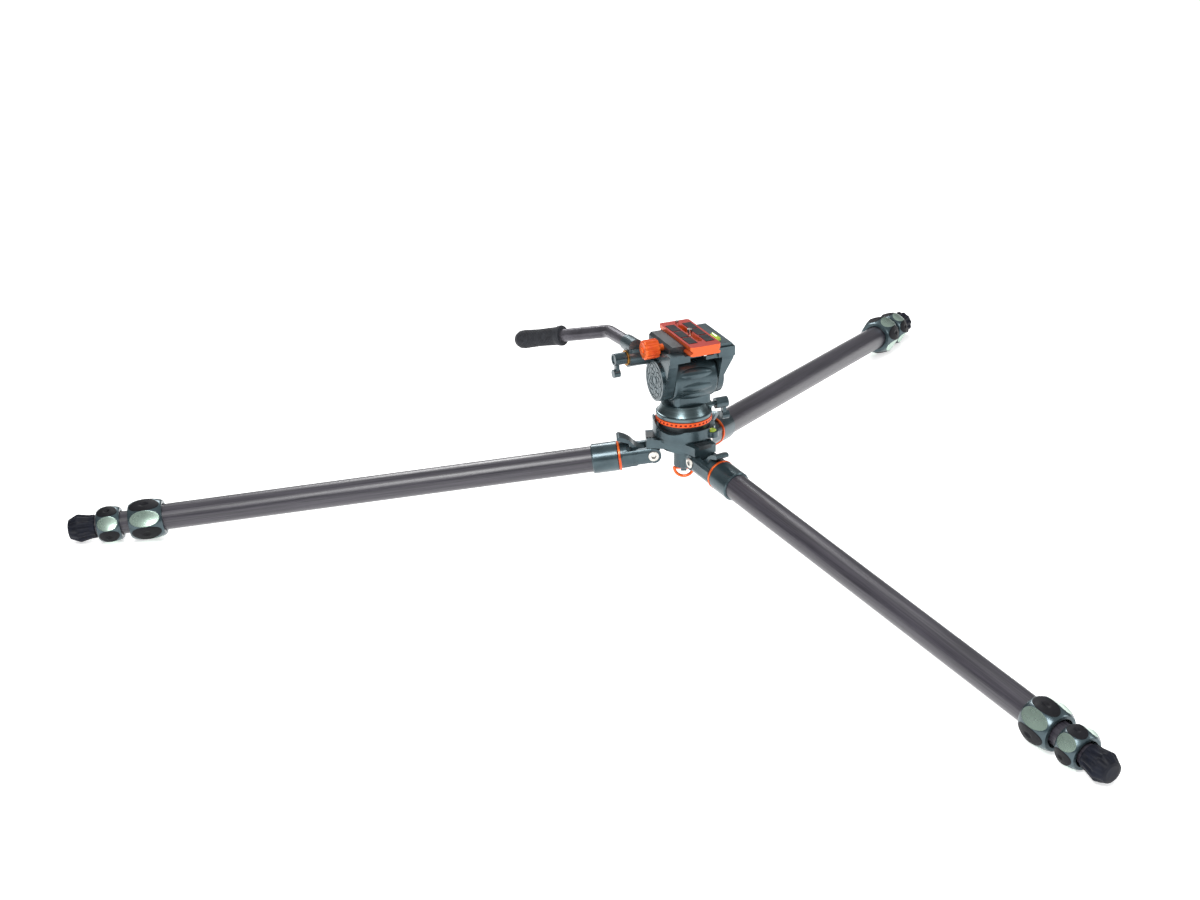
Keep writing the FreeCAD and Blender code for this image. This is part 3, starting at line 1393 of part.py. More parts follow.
def place_head():
    frame = head_frame()
    root, bend, end = bar_points()
    x = S.pan_base_radius + 8.0
    pan_hub = (S.lever_hub_length + 1.0, S.lever_hub_radius - 0.6)
    pan_lever = lever("pan_lock", pan_hub, (x - 14.0, 3.0), S.lever_drop - 1.0, 4.0)
    tilt_lever = lever("tilt_lock", (16.0, 6.4), (18.0, 3.0), S.lever_drop - 2.0, 3.0)
    handle_lever = lever(
        "handle_lock",
        (S.lever_hub_length, S.lever_hub_radius),
        (S.knuckle_length + 12.0, 3.9),
        S.lever_drop,
        3.0,
    )
    pieces = {
        "pan_base": pan_base(),
        "tilt_housing": tilt_housing(),
        "cradle": cradle(),
        "side_covers": group(
            "covers",
            side_cover("cover_left", ARM_OUT_LEFT - 3.0, -1),
            side_cover("cover_right", ARM_FOOT_RIGHT, 1),
        ),
        "clamp_jaw": clamp_jaw(),
        "clamp_knob": clamp_knob(),
        "release_plate": release_plate(),
        "plate_pads": group("pads", *[block(f"pad_{i}", *box) for i, box in enumerate(pad_boxes(0.0))]),
        "camera_screw": camera_screw(),
        "video_pin": video_pin(),
        "head_bubble": head_bubble(),
        "handle_knuckle": handle_knuckle(),
        "handle_washer": tube(
            "washer_ring",
            "X",
            Size(9.4, "9.4"),
            4.1,
            (KNUCKLE_OUT - S.knuckle_length - 2.1, S.knuckle_back, KNUCKLE_Z),
            1.8,
        ),
        "pan_bar": pan_bar(),
    }
    for label, thing in pieces.items():
        sub_part(label, thing, frame)
    reach = float(KNUCKLE_OUT) - float(S.knuckle_length) - 2.3
    knuckle_end = Vector(reach, float(S.knuckle_back), float(KNUCKLE_Z))
    spots = {
        "pan_lock_lever": (pan_lever, Vector(float(x), 0, float(PAN_Z) + 6.2), Rotation()),
        "tilt_lock_lever": (
            tilt_lever,
            Vector(float(TILT_LOCK_X), float(S.housing_radius) - 3.0, float(TILT_LOCK_Z)),
            Rotation(Vector(0, 0, 1), 90),
        ),
        "handle_lever": (
            handle_lever,
            knuckle_end,
            Rotation(Vector(0, 0, 1), 180),
        ),
        "grip": (
            grip(),
            end - BAR_TURN * float(S.grip_length),
            Rotation(Vector(1, 0, 0), BAR_TURN),
        ),
    }
    for label, (thing, spot, turn) in spots.items():
        sub_part(label, thing, frame.multiply(Placement(spot, turn)))


def head_bubble():
    """Tubular bubble level on the fixed jaw."""
    x = PLATE_X + S.plate_width / 2 + 5.0
    z = DECK_TOP + 9.5
    holder = block("vial_holder", (x - 3.6, -26, z), (x + 3.6, -10, z + 3.4))
    vial = rod("vial", "Y", 2.6, (x, -24.5, z + 3.0), 13)
    return fuse("vial_piece", holder, vial)


def apex_bubble():
    x, y = bubble_spot()
    return group("apex_vial", rod("apex_vial_rod", "Z", 5.5, (x, y, RIM_Z - 4.9), 4.6))


def place_apex():
    level = Placement()
    across = Placement(Vector(), Rotation(Vector(0, 0, 1), HOOK_TURN))
    pieces = {
        "apex": apex(),
        "hinge_bolts": hinge_bolts(),
        "stop_racks": group("racks", *[stop_rack(leg, azimuth) for leg, azimuth in LEGS.items()]),
        "apex_bubble": apex_bubble(),
        "level_liner": level_liner(),
        "level_ball": level_ball(),
        "level_ring": tube(
            "level_ring_piece",
            "Z",
            S.level_ring_radius,
            S.ball_radius - 2.45,
            (0, 0, RING_Z),
            S.level_ring_height,
        ),
        "level_knob": level_knob(),
        "hook_ring": hook_ring(),
    }
    for label, thing in pieces.items():
        sub_part(label, thing, across if label in ("level_knob", "hook_ring") else level)


# ---------------------------------------------------------------- assembly and export


def centre_everything():
    """Moves every piece together, so the origin is the bottom centre of the whole."""
    whole = FreeCAD.BoundBox()
    for part in SUB_PARTS:
        whole.add(part.Shape.optimalBoundingBox(False))
    centre = whole.Center
    shift = Vector(-centre.x, -centre.y, -whole.ZMin)
    for part in SUB_PARTS:
        part.Placement = Placement(shift, Rotation()).multiply(part.Placement)
    print("shift", tuple(round(v, 3) for v in shift), "size", whole)


def check_and_export():
    DOC.recompute()
    for thing in DOC.Objects:
        bad = {"Invalid", "Error"} & set(thing.State)
        if bad:
            raise RuntimeError(f"{thing.Name} ({thing.Label}): {bad}")
    os.makedirs("parts", exist_ok=True)
    for part in SUB_PARTS:
        shape = part.Shape
        if shape.isNull() or not shape.isValid() or not shape.Solids:
            raise RuntimeError(f"{part.Label}: no valid solid")
        part.Shape.exportStep(f"parts/{part.Label}.step")
        print(part.Label, len(shape.Solids), round(shape.Volume, 1))


place_apex()
for leg_name, leg_azimuth in LEGS.items():
    build_leg(leg_name, leg_azimuth)
place_head()
DOC.recompute()
centre_everything()
check_and_export()
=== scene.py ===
"""Low tripod with a fluid head: the finish, the turned and fluted pieces, and the studio."""

import json
import math

import bmesh
import bpy
from mathutils import Matrix, Vector


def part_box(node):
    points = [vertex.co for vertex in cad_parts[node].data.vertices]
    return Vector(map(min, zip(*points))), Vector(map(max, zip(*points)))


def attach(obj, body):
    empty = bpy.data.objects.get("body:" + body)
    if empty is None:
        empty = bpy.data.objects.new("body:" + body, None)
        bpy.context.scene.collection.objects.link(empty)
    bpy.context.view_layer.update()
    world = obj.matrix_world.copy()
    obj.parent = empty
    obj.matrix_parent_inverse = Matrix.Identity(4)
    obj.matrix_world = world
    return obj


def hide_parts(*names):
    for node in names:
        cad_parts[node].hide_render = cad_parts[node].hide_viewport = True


MM = 0.001
LEGS = ("front", "right", "left")

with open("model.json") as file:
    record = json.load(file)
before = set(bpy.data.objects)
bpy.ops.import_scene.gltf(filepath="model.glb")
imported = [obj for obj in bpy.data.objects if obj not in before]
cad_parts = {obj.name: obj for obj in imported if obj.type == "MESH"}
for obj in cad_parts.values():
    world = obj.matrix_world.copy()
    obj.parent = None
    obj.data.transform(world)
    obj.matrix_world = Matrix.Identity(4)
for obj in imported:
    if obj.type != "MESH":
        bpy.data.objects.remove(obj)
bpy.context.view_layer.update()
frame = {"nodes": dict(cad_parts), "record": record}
JOINTS = {joint["name"]: joint for joint in frame["record"]["behaviour"]["joints"]}
PAN_AXIS = Vector(JOINTS["pan_turn"]["pos_m"])


# ---------------------------------------------------------------- small helpers


def linear(code):
    """sRGB hex to linear RGBA."""
    channels = [int(code[i : i + 2], 16) / 255 for i in (1, 3, 5)]
    lit = [c / 12.92 if c <= 0.04045 else ((c + 0.055) / 1.055) ** 2.4 for c in channels]
    return (*lit, 1.0)


def add(tree, kind, inputs=None, **settings):
    """Adds a node, its settings, and its input numbers or links."""
    node = tree.nodes.new(kind)
    for name, value in settings.items():
        setattr(node, name, value)
    for key, value in (inputs or {}).items():
        if isinstance(value, bpy.types.NodeSocket):
            tree.links.new(value, node.inputs[key])
        else:
            node.inputs[key].default_value = value
    return node


def joint_frame(name, across):
    """World matrix with +X along a joint's axis and +Y as near to across as it can be."""
    x = Vector(JOINTS[name]["axis"]).normalized()
    z = x.cross(across).normalized()
    y = z.cross(x)
    turn = Matrix((x, y, z)).transposed().to_4x4()
    return Matrix.Translation(Vector(JOINTS[name]["pos_m"])) @ turn


def reach(node, matrix):
    """(start, end, radius) of a CAD node along and about a frame's +X."""
    back = matrix.inverted()
    points = [back @ v.co for v in frame["nodes"][node].data.vertices]
    along = [p.x for p in points]
    return min(along), max(along), max(math.hypot(p.y, p.z) for p in points)


# Notches round the level ring.
RING_NOTCHES = 36.0


# ---------------------------------------------------------------- materials


def surface(name, color, metallic, roughness, **sockets):
    """A material with its surface shader, and coordinates in metres on the object."""
    material = bpy.data.materials.new(name)
    material.use_nodes = True
    tree = material.node_tree
    shader = tree.nodes["Principled BSDF"]
    shader.inputs["Base Color"].default_value = linear(color)
    shader.inputs["Metallic"].default_value = metallic
    shader.inputs["Roughness"].default_value = roughness
    for key, value in sockets.items():
        shader.inputs[key.replace("_", " ")].default_value = value
    place = add(tree, "ShaderNodeTexCoord").outputs["Object"]
    return material, tree, shader, place


def mottle(tree, shader, place, colors, size_mm, rough):
    """Slow change of colour and gloss over patches of a real size."""
    patch = add(
        tree, "ShaderNodeTexNoise", {"Vector": place, "Scale": 1000 / size_mm, "Detail": 3.0}
    ).outputs["Fac"]
    ramp = add(tree, "ShaderNodeValToRGB", {"Fac": patch})
    ramp.color_ramp.elements[0].position = 0.35
    ramp.color_ramp.elements[1].position = 0.65
    ramp.color_ramp.elements[0].color = linear(colors[0])
    ramp.color_ramp.elements[1].color = linear(colors[1])
    gloss = add(
        tree,
        "ShaderNodeMapRange",
        {"Value": patch, "From Min": 0.3, "From Max": 0.7, "To Min": rough[0], "To Max": rough[1]},
    )
    tree.links.new(gloss.outputs["Result"], shader.inputs["Roughness"])
    tree.links.new(ramp.outputs["Color"], shader.inputs["Base Color"])


def grain(tree, shader, place, size_mm, depth_mm, stretch=(1, 1, 1)):
    """Fine relief of a real grain size, stretched where a tool has run one way."""
    run = add(tree, "ShaderNodeMapping", {"Vector": place, "Scale": stretch}).outputs["Vector"]
    noise = add(
        tree, "ShaderNodeTexNoise", {"Vector": run, "Scale": 1000 / size_mm, "Detail": 2.0}
    ).outputs["Fac"]
    bump = add(tree, "ShaderNodeBump", {"Height": noise, "Strength": 0.6, "Distance": depth_mm * MM})
    tree.links.new(bump.outputs["Normal"], shader.inputs["Normal"])


def painted_casting():
    """Die-cast aluminium under satin grey-green lacquer: even, with a fine pebble and soft gloss."""
    material, tree, shader, place = surface(
        "die_cast_lacquered", "#43545a", 0.65, 0.3, Coat_Weight=0.35, Coat_Roughness=0.16
    )
    mottle(tree, shader, place, ("#3b4b51", "#4a5c62"), 26, (0.26, 0.35))
    grain(tree, shader, place, 0.9, 0.05)
    return material


def turned_oval():
    """Diamond-turned dish in the lock collars: pale green metal with faint tool arcs."""
    material, tree, shader, place = surface("aluminium_diamond_turned", "#b9d0c2", 0.9, 0.24)
    mottle(tree, shader, place, ("#b2cabc", "#bdd3c6"), 22, (0.25, 0.3))
    grain(tree, shader, place, 1.0, 0.003)
    return material


def carbon_tube(leg):
    """Pultruded carbon under satin lacquer: fine dark and pale threads along the tube."""
    material, tree, shader, place = surface(
        f"carbon_fibre_pultruded_{leg}", "#47444c", 0.0, 0.38, Coat_Weight=0.35, Coat_Roughness=0.3
    )
    lay = joint_frame(f"upper_lock_turn_{leg}", Vector((0, 0, 1))).to_3x3().inverted().to_euler()
    along = add(tree, "ShaderNodeMapping", {"Vector": place, "Rotation": tuple(lay)}).outputs[0]
    stretch = add(tree, "ShaderNodeMapping", {"Vector": along, "Scale": (0.012, 1, 1)}).outputs[0]
    # Real tows are about 0.1 mm wide; 1.2 mm is the finest that shows.
    threads = add(
        tree, "ShaderNodeTexNoise", {"Vector": stretch, "Scale": 1 / (1.2 * MM), "Detail": 3.0}
    ).outputs["Fac"]
    ramp = add(tree, "ShaderNodeValToRGB", {"Fac": threads})
    ramp.color_ramp.elements[0].position = 0.36
    ramp.color_ramp.elements[0].color = linear("#2a282f")
    ramp.color_ramp.elements[1].position = 0.66
    ramp.color_ramp.elements[1].color = linear("#45424b")
    tree.links.new(ramp.outputs["Color"], shader.inputs["Base Color"])
    bump = add(tree, "ShaderNodeBump", {"Height": threads, "Strength": 0.35, "Distance": 0.08 * MM})
    tree.links.new(bump.outputs["Normal"], shader.inputs["Normal"])
    gloss = add(
        tree,
        "ShaderNodeMapRange",
        {"Value": threads, "From Min": 0.3, "From Max": 0.7, "To Min": 0.3, "To Max": 0.46},
    )
    tree.links.new(gloss.outputs["Result"], shader.inputs["Roughness"])
    return material


def orange_anodised(name, colors, rough):
    """Anodised aluminium: clear strong colour over faint machining lines."""
    material, tree, shader, place = surface(name, colors[0], 0.45, rough)
    shader.inputs["Coat Weight"].default_value = 0.2
    mottle(tree, shader, place, colors, 18, (rough - 0.05, rough + 0.06))
    grain(tree, shader, place, 0.7, 0.02, (1, 0.15, 1))
    return material


def plate_with_painted_top_shade():
    """Anodised orange plate with painted shade: its top face is painted a deeper red than its sides.
    """
    name = "aluminium_anodised_coral"
    material, tree, shader, place = surface(name, "#dd5526", 0.45, 0.3, Coat_Weight=0.2)
    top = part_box("release_plate")[1].z
    height = add(tree, "ShaderNodeSeparateXYZ", {0: place}).outputs["Z"]
    painted_top_shade = add(
        tree, "ShaderNodeMath", {0: height, 1: top - 0.3 * MM}, operation="GREATER_THAN"
    ).outputs[0]
    # Painted shade: faces at the plate's top height take a darker red than the orange sides.
    mix = add(
        tree,
        "ShaderNodeMix",
        {"Factor": painted_top_shade, 6: linear("#e3602a"), 7: linear("#bd3527")},
        data_type="RGBA",
    )
    tree.links.new(mix.outputs[2], shader.inputs["Base Color"])
    grain(tree, shader, place, 0.7, 0.02, (1, 0.15, 1))
    return material


def notched_ring():
    """Anodised orange ring with painted shadow: dark red dashes painted round its band where its
    machined notches lie.
    """
    material, tree, shader, place = surface("aluminium_anodised_notched", "#ee5a20", 0.45, 0.32)
    middle = add(
        tree,
        "ShaderNodeVectorMath",
        {0: place, 1: tuple(-c for c in PAN_AXIS)},
        operation="ADD",
    ).outputs["Vector"]
    spot = add(tree, "ShaderNodeSeparateXYZ", {0: middle}).outputs
    angle = add(
        tree, "ShaderNodeMath", {0: spot["Y"], 1: spot["X"]}, operation="ARCTAN2"
    ).outputs[0]
    wave = add(tree, "ShaderNodeMath", {0: angle, 1: RING_NOTCHES}, operation="MULTIPLY").outputs[0]
    wave = add(tree, "ShaderNodeMath", {0: wave}, operation="COSINE").outputs[0]
    low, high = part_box("level_ring")
    middle_z = (low.z + high.z) / 2 - PAN_AXIS.z
    near = add(
        tree,
        "ShaderNodeMath",
        {0: spot["Z"], 1: middle_z, 2: (high.z - low.z) * 0.22},
        operation="COMPARE",
    ).outputs[0]
    # Painted shadow: dark red dashes in the notches, only in the middle band of the ring.
    painted_notch_shadow = add(tree, "ShaderNodeMath", {0: wave, 1: 0.1}, operation="GREATER_THAN").outputs[0]
    painted_notch_shadow = add(tree, "ShaderNodeMath", {0: painted_notch_shadow, 1: near}, operation="MULTIPLY").outputs[0]
    mix = add(
        tree,
        "ShaderNodeMix",
        {"Factor": painted_notch_shadow, 6: linear("#ee5a20"), 7: linear("#8f2814")},
        data_type="RGBA",
    )
    tree.links.new(mix.outputs[2], shader.inputs["Base Color"])
    grain(tree, shader, place, 0.7, 0.02)
    return material


def silver_turned():
    """Turned aluminium with fine rings about the pan axis, cool grey with sharp highlights."""
    material, tree, shader, place = surface("aluminium_lathe_turned", "#6a7a7c", 1.0, 0.3)
    level = add(tree, "ShaderNodeMapping", {"Vector": place, "Scale": (0.02, 0.02, 1)}).outputs[0]
    rings = add(
        tree, "ShaderNodeTexNoise", {"Vector": level, "Scale": 1 / (0.9 * MM), "Detail": 2.0}
    ).outputs["Fac"]
    ramp = add(tree, "ShaderNodeValToRGB", {"Fac": rings})
    ramp.color_ramp.elements[0].position = 0.3
    ramp.color_ramp.elements[0].color = linear("#566568")
    ramp.color_ramp.elements[1].position = 0.7
    ramp.color_ramp.elements[1].color = linear("#728286")
    tree.links.new(ramp.outputs["Color"], shader.inputs["Base Color"])
    bump = add(tree, "ShaderNodeBump", {"Height": rings, "Strength": 0.2, "Distance": 0.01 * MM})
    tree.links.new(bump.outputs["Normal"], shader.inputs["Normal"])
    return material


def bolt_steel():
    """Nickel-plated steel: near-white metal with small dull patches."""
    material, tree, shader, place = surface("steel_nickel_plated", "#d9d6cf", 1.0, 0.2)
    mottle(tree, shader, place, ("#c9c6bf", "#e4e1da"), 4, (0.14, 0.3))
    grain(tree, shader, place, 0.5, 0.01)
    return material


def rubber(name, colors, size_mm):
    """Moulded rubber: dark, matt, with a fine sparked texture from its mould."""
    material, tree, shader, place = surface(
        name, colors[0], 0.0, 0.6, IOR=1.52, Specular_IOR_Level=0.22
    )
    mottle(tree, shader, place, colors, 12, (0.48, 0.66))
    grain(tree, shader, place, size_mm, 0.12)
    return material


def moulded_black():
    """Glass-filled nylon: near-black with a light pebble, slightly glossy where rubbed."""
    material, tree, shader, place = surface("nylon_glass_filled", "#2a2e31", 0.0, 0.42, IOR=1.53)
    mottle(tree, shader, place, ("#24292c", "#343b3f"), 14, (0.36, 0.5))
    grain(tree, shader, place, 0.8, 0.06)
    return material


def dark_bar():
    """Hard-anodised drawn tube: dark warm grey with long faint draw lines."""
    material, tree, shader, place = surface("aluminium_hard_anodised", "#56545a", 0.6, 0.34)
    mottle(tree, shader, place, ("#4d4b51", "#646269"), 30, (0.28, 0.4))
    grain(tree, shader, place, 0.9, 0.03, (1, 0.2, 1))
    return material


def vial():
    """Acrylic vial with lime spirit: bright, clear gloss, and random patches of darker and paler
    liquid.
    """
    material, tree, shader, place = surface(
        "acrylic_vial_lime", "#b6d63c", 0.0, 0.08, IOR=1.49, Coat_Weight=0.6, Coat_Roughness=0.05
    )
    mottle(tree, shader, place, ("#9cc22c", "#d2ec6a"), 5, (0.05, 0.12))
    return material


def bronze():
    """Sintered bronze washer: brown gold, slightly porous."""
    material, tree, shader, place = surface("bronze_sintered", "#b07f3c", 1.0, 0.38)
    mottle(tree, shader, place, ("#8f652e", "#c08c44"), 3, (0.3, 0.5))
    grain(tree, shader, place, 0.4, 0.03)
    return material


def finishes():
    """Every material by the record's slot, and the finer kinds that some pieces take."""
    made = {
        "casting": painted_casting(),
        "dish": turned_oval(),
        "orange": orange_anodised("aluminium_anodised_orange", ("#e8541c", "#f46e24"), 0.32),
        "ring": notched_ring(),
        "plate": plate_with_painted_top_shade(),
        "silver": silver_turned(),
        "steel": bolt_steel(),
        "rubber": rubber("rubber_moulded", ("#0c0d12", "#15161c"), 1.1),
        "boot": rubber("rubber_boot_moulded", ("#0a0d18", "#131826"), 1.4),
        "foam": rubber("foam_rubber_grip", ("#232428", "#33353a"), 1.8),
        "black": moulded_black(),
        "bar": dark_bar(),
        "vial": vial(),
        "bronze": bronze(),
    }
    for leg in LEGS:
        made[f"carbon_{leg}"] = carbon_tube(leg)
    return made


FINISH = finishes()


def finish_cad():
    """Gives every carried-over CAD node its material."""
    special = {"release_plate": "plate", "grip": "foam", "pan_bar": "bar"}
    for part in frame["record"]["subparts"]:
        name = part["node"]
        kind = special.get(name, part["material_slot"])
        if kind == "carbon":
            kind = "carbon_" + name.rsplit("_", 1)[1]
        if name.startswith("foot_"):
            kind = "boot"
        mesh = frame["nodes"][name].data
        mesh.materials.clear()
        mesh.materials.append(FINISH[kind])


# ---------------------------------------------------------------- geometry trees


def inputs_of(tree, sizes):
    """Declares a tree's named sizes and returns their sockets."""
    tree.interface.new_socket("Geometry", in_out="OUTPUT", socket_type="NodeSocketGeometry")
    for name, value in sizes.items():
        socket = tree.interface.new_socket(name, in_out="INPUT", socket_type="NodeSocketFloat")
        socket.default_value = value
    return add(tree, "NodeGroupInput").outputs


def line_curve(tree, fac, points):
    """A Float Curve node through straight-joined points."""
    node = add(tree, "ShaderNodeFloatCurve", {"Value": fac})
    curve = node.mapping.curves[0]
    curve.points[0].location = points[0]
    curve.points[1].location = points[-1]
    for x, y in points[1:-1]:
        curve.points.new(x, y)
    for point in curve.points:
        point.handle_type = "VECTOR"
    node.mapping.update()
    return node.outputs["Value"]


def closed_out(tree, geometry, material, instances=None):
    """Welds the seams, keeps sharp edges sharp, and ends the tree with its material."""
    welded = add(tree, "GeometryNodeMergeByDistance", {"Geometry": geometry, "Distance": 1e-6})
    smooth = add(
        tree, "GeometryNodeSetShadeSmooth", {"Geometry": welded.outputs[0]}, domain="FACE"
    ).outputs[0]
    bend = add(tree, "GeometryNodeInputMeshEdgeAngle").outputs["Unsigned Angle"]
    sharp = add(
        tree, "FunctionNodeCompare", {"A": bend, "B": math.radians(32)}, operation="GREATER_THAN"
    ).outputs["Result"]
    edged = add(
        tree,
        "GeometryNodeSetShadeSmooth",
        {"Geometry": smooth, "Selection": sharp, "Shade Smooth": False},
        domain="EDGE",
    ).outputs[0]
    placed = edged
    if instances is not None:
        placed = instances(edged)
    real = add(tree, "GeometryNodeRealizeInstances", {"Geometry": placed}).outputs[0]
    last = add(tree, "GeometryNodeSetMaterial", {"Geometry": real, "Material": material}).outputs[0]
    tree.links.new(last, add(tree, "NodeGroupOutput").inputs[0])


def unit_grid(tree, rows, columns):
    """A grid whose first coordinate runs 0 to 1 and whose second is a full turn."""
    grid = add(
        tree,
        "GeometryNodeMeshGrid",
        {"Size X": 1.0, "Size Y": 1.0, "Vertices X": rows + 1, "Vertices Y": columns + 1},
    ).outputs["Mesh"]
    spot = add(tree, "ShaderNodeSeparateXYZ", {0: add(tree, "GeometryNodeInputPosition").outputs[0]})
    u = add(tree, "ShaderNodeMath", {0: spot.outputs["X"], 1: 0.5}, operation="ADD").outputs[0]
    angle = add(
        tree,
        "ShaderNodeMath",
        {0: spot.outputs["Y"], 1: 2 * math.pi, 2: math.pi},
        operation="MULTIPLY_ADD",
    ).outputs[0]
    return grid, u, angle


def about_x(tree, grid, along, radius, angle):
    """Moves the grid to a place along +X, at a radius and an angle."""
    c = add(tree, "ShaderNodeMath", {0: angle}, operation="COSINE").outputs[0]
    s = add(tree, "ShaderNodeMath", {0: angle}, operation="SINE").outputs[0]
    y = add(tree, "ShaderNodeMath", {0: radius, 1: c}, operation="MULTIPLY").outputs[0]
    z = add(tree, "ShaderNodeMath", {0: radius, 1: s}, operation="MULTIPLY").outputs[0]
    spot = add(tree, "ShaderNodeCombineXYZ", {"X": along, "Y": y, "Z": z}).outputs[0]
    return add(tree, "GeometryNodeSetPosition", {"Geometry": grid, "Position": spot}).outputs[0]


def spread(outline, rows):
    """Shares the grid's rows over an outline's runs by their length."""
    runs = [math.dist(a, b) for a, b in zip(outline, outline[1:])]
    total = sum(runs)
    marks = [0.0]
    for run in runs:
        marks.append(marks[-1] + max(run / total, 1.0 / rows))
    return [round(mark / marks[-1] * rows) / rows for mark in marks]


def fluted_turning(name, outline, carved, rows, columns, material):
    """Tree for a turned piece with waves cut round it (Flutes) or along it (Rings).

    outline holds (along, radius) in millimetres; carved says for each of its points whether the
    waves reach it, from 0 to 1.
    """
    length = max(x for x, _ in outline)
    radius = max(r for _, r in outline)
    tree = bpy.data.node_groups.new(name, "GeometryNodeTree")
    sizes = {"Length": length * MM, "Radius": radius * MM, "Depth": 0.0, "Flutes": 0.0, "Rings": 0.0}
    given = inputs_of(tree, sizes)
    grid, u, angle = unit_grid(tree, rows, columns)
    marks = spread(outline, rows)
    share_x = line_curve(tree, u, [(m, x / length) for m, (x, _) in zip(marks, outline)])
    share_r = line_curve(tree, u, [(m, r / radius) for m, (_, r) in zip(marks, outline)])
    cut = line_curve(tree, u, list(zip(marks, carved)))
    along = add(
        tree, "ShaderNodeMath", {0: share_x, 1: given["Length"]}, operation="MULTIPLY"
    ).outputs[0]
    plain = add(
        tree, "ShaderNodeMath", {0: share_r, 1: given["Radius"]}, operation="MULTIPLY"
    ).outputs[0]
    turns = add(
        tree, "ShaderNodeMath", {0: u, 1: 2 * math.pi}, operation="MULTIPLY"
    ).outputs[0]
    rings = add(
        tree, "ShaderNodeMath", {0: turns, 1: given["Rings"]}, operation="MULTIPLY"
    ).outputs[0]
    phase = add(
        tree,
        "ShaderNodeMath",
        {0: angle, 1: given["Flutes"], 2: rings},
        operation="MULTIPLY_ADD",
    ).outputs[0]
    wave = add(tree, "ShaderNodeMath", {0: phase}, operation="COSINE").outputs[0]
    wave = add(
        tree, "ShaderNodeMath", {0: wave, 1: 0.5, 2: 0.5}, operation="MULTIPLY_ADD"
    ).outputs[0]
    wave = add(tree, "ShaderNodeMath", {0: wave, 1: 1.6}, operation="POWER").outputs[0]
    wave = add(tree, "ShaderNodeMath", {0: wave, 1: cut}, operation="MULTIPLY").outputs[0]
    depth = add(
        tree, "ShaderNodeMath", {0: wave, 1: given["Depth"]}, operation="MULTIPLY"
    ).outputs[0]
    final = add(tree, "ShaderNodeMath", {0: plain, 1: depth}, operation="SUBTRACT").outputs[0]
    closed_out(tree, about_x(tree, grid, along, final, angle), material)
    return tree


def swell(tree, along, given):
    """Radius of a lock's barrel at a place along it: its end radius plus a parabola."""
    place = add(
        tree, "ShaderNodeMath", {0: along, 1: given["Length"]}, operation="DIVIDE"
    ).outputs[0]
    place = add(
        tree, "ShaderNodeMath", {0: place, 1: 2.0, 2: -1.0}, operation="MULTIPLY_ADD"
    ).outputs[0]
    square = add(tree, "ShaderNodeMath", {0: place, 1: place}, operation="MULTIPLY").outputs[0]
    rise = add(tree, "ShaderNodeMath", {0: 1.0, 1: square}, operation="SUBTRACT").outputs[0]
    return add(
        tree,
        "ShaderNodeMath",
        {0: rise, 1: given["Swell"], 2: given["End Radius"]},
        operation="MULTIPLY_ADD",
    ).outputs[0]


LOCK_SIZES = {
    "Length": 45 * MM,
    "End Radius": 24 * MM,
    "Swell": 3.5 * MM,
    "Oval Length": 17 * MM,
    "Oval Width": 9.6 * MM,
    "Oval Depth": 2.2 * MM,
    "Turn": 0.0,
}


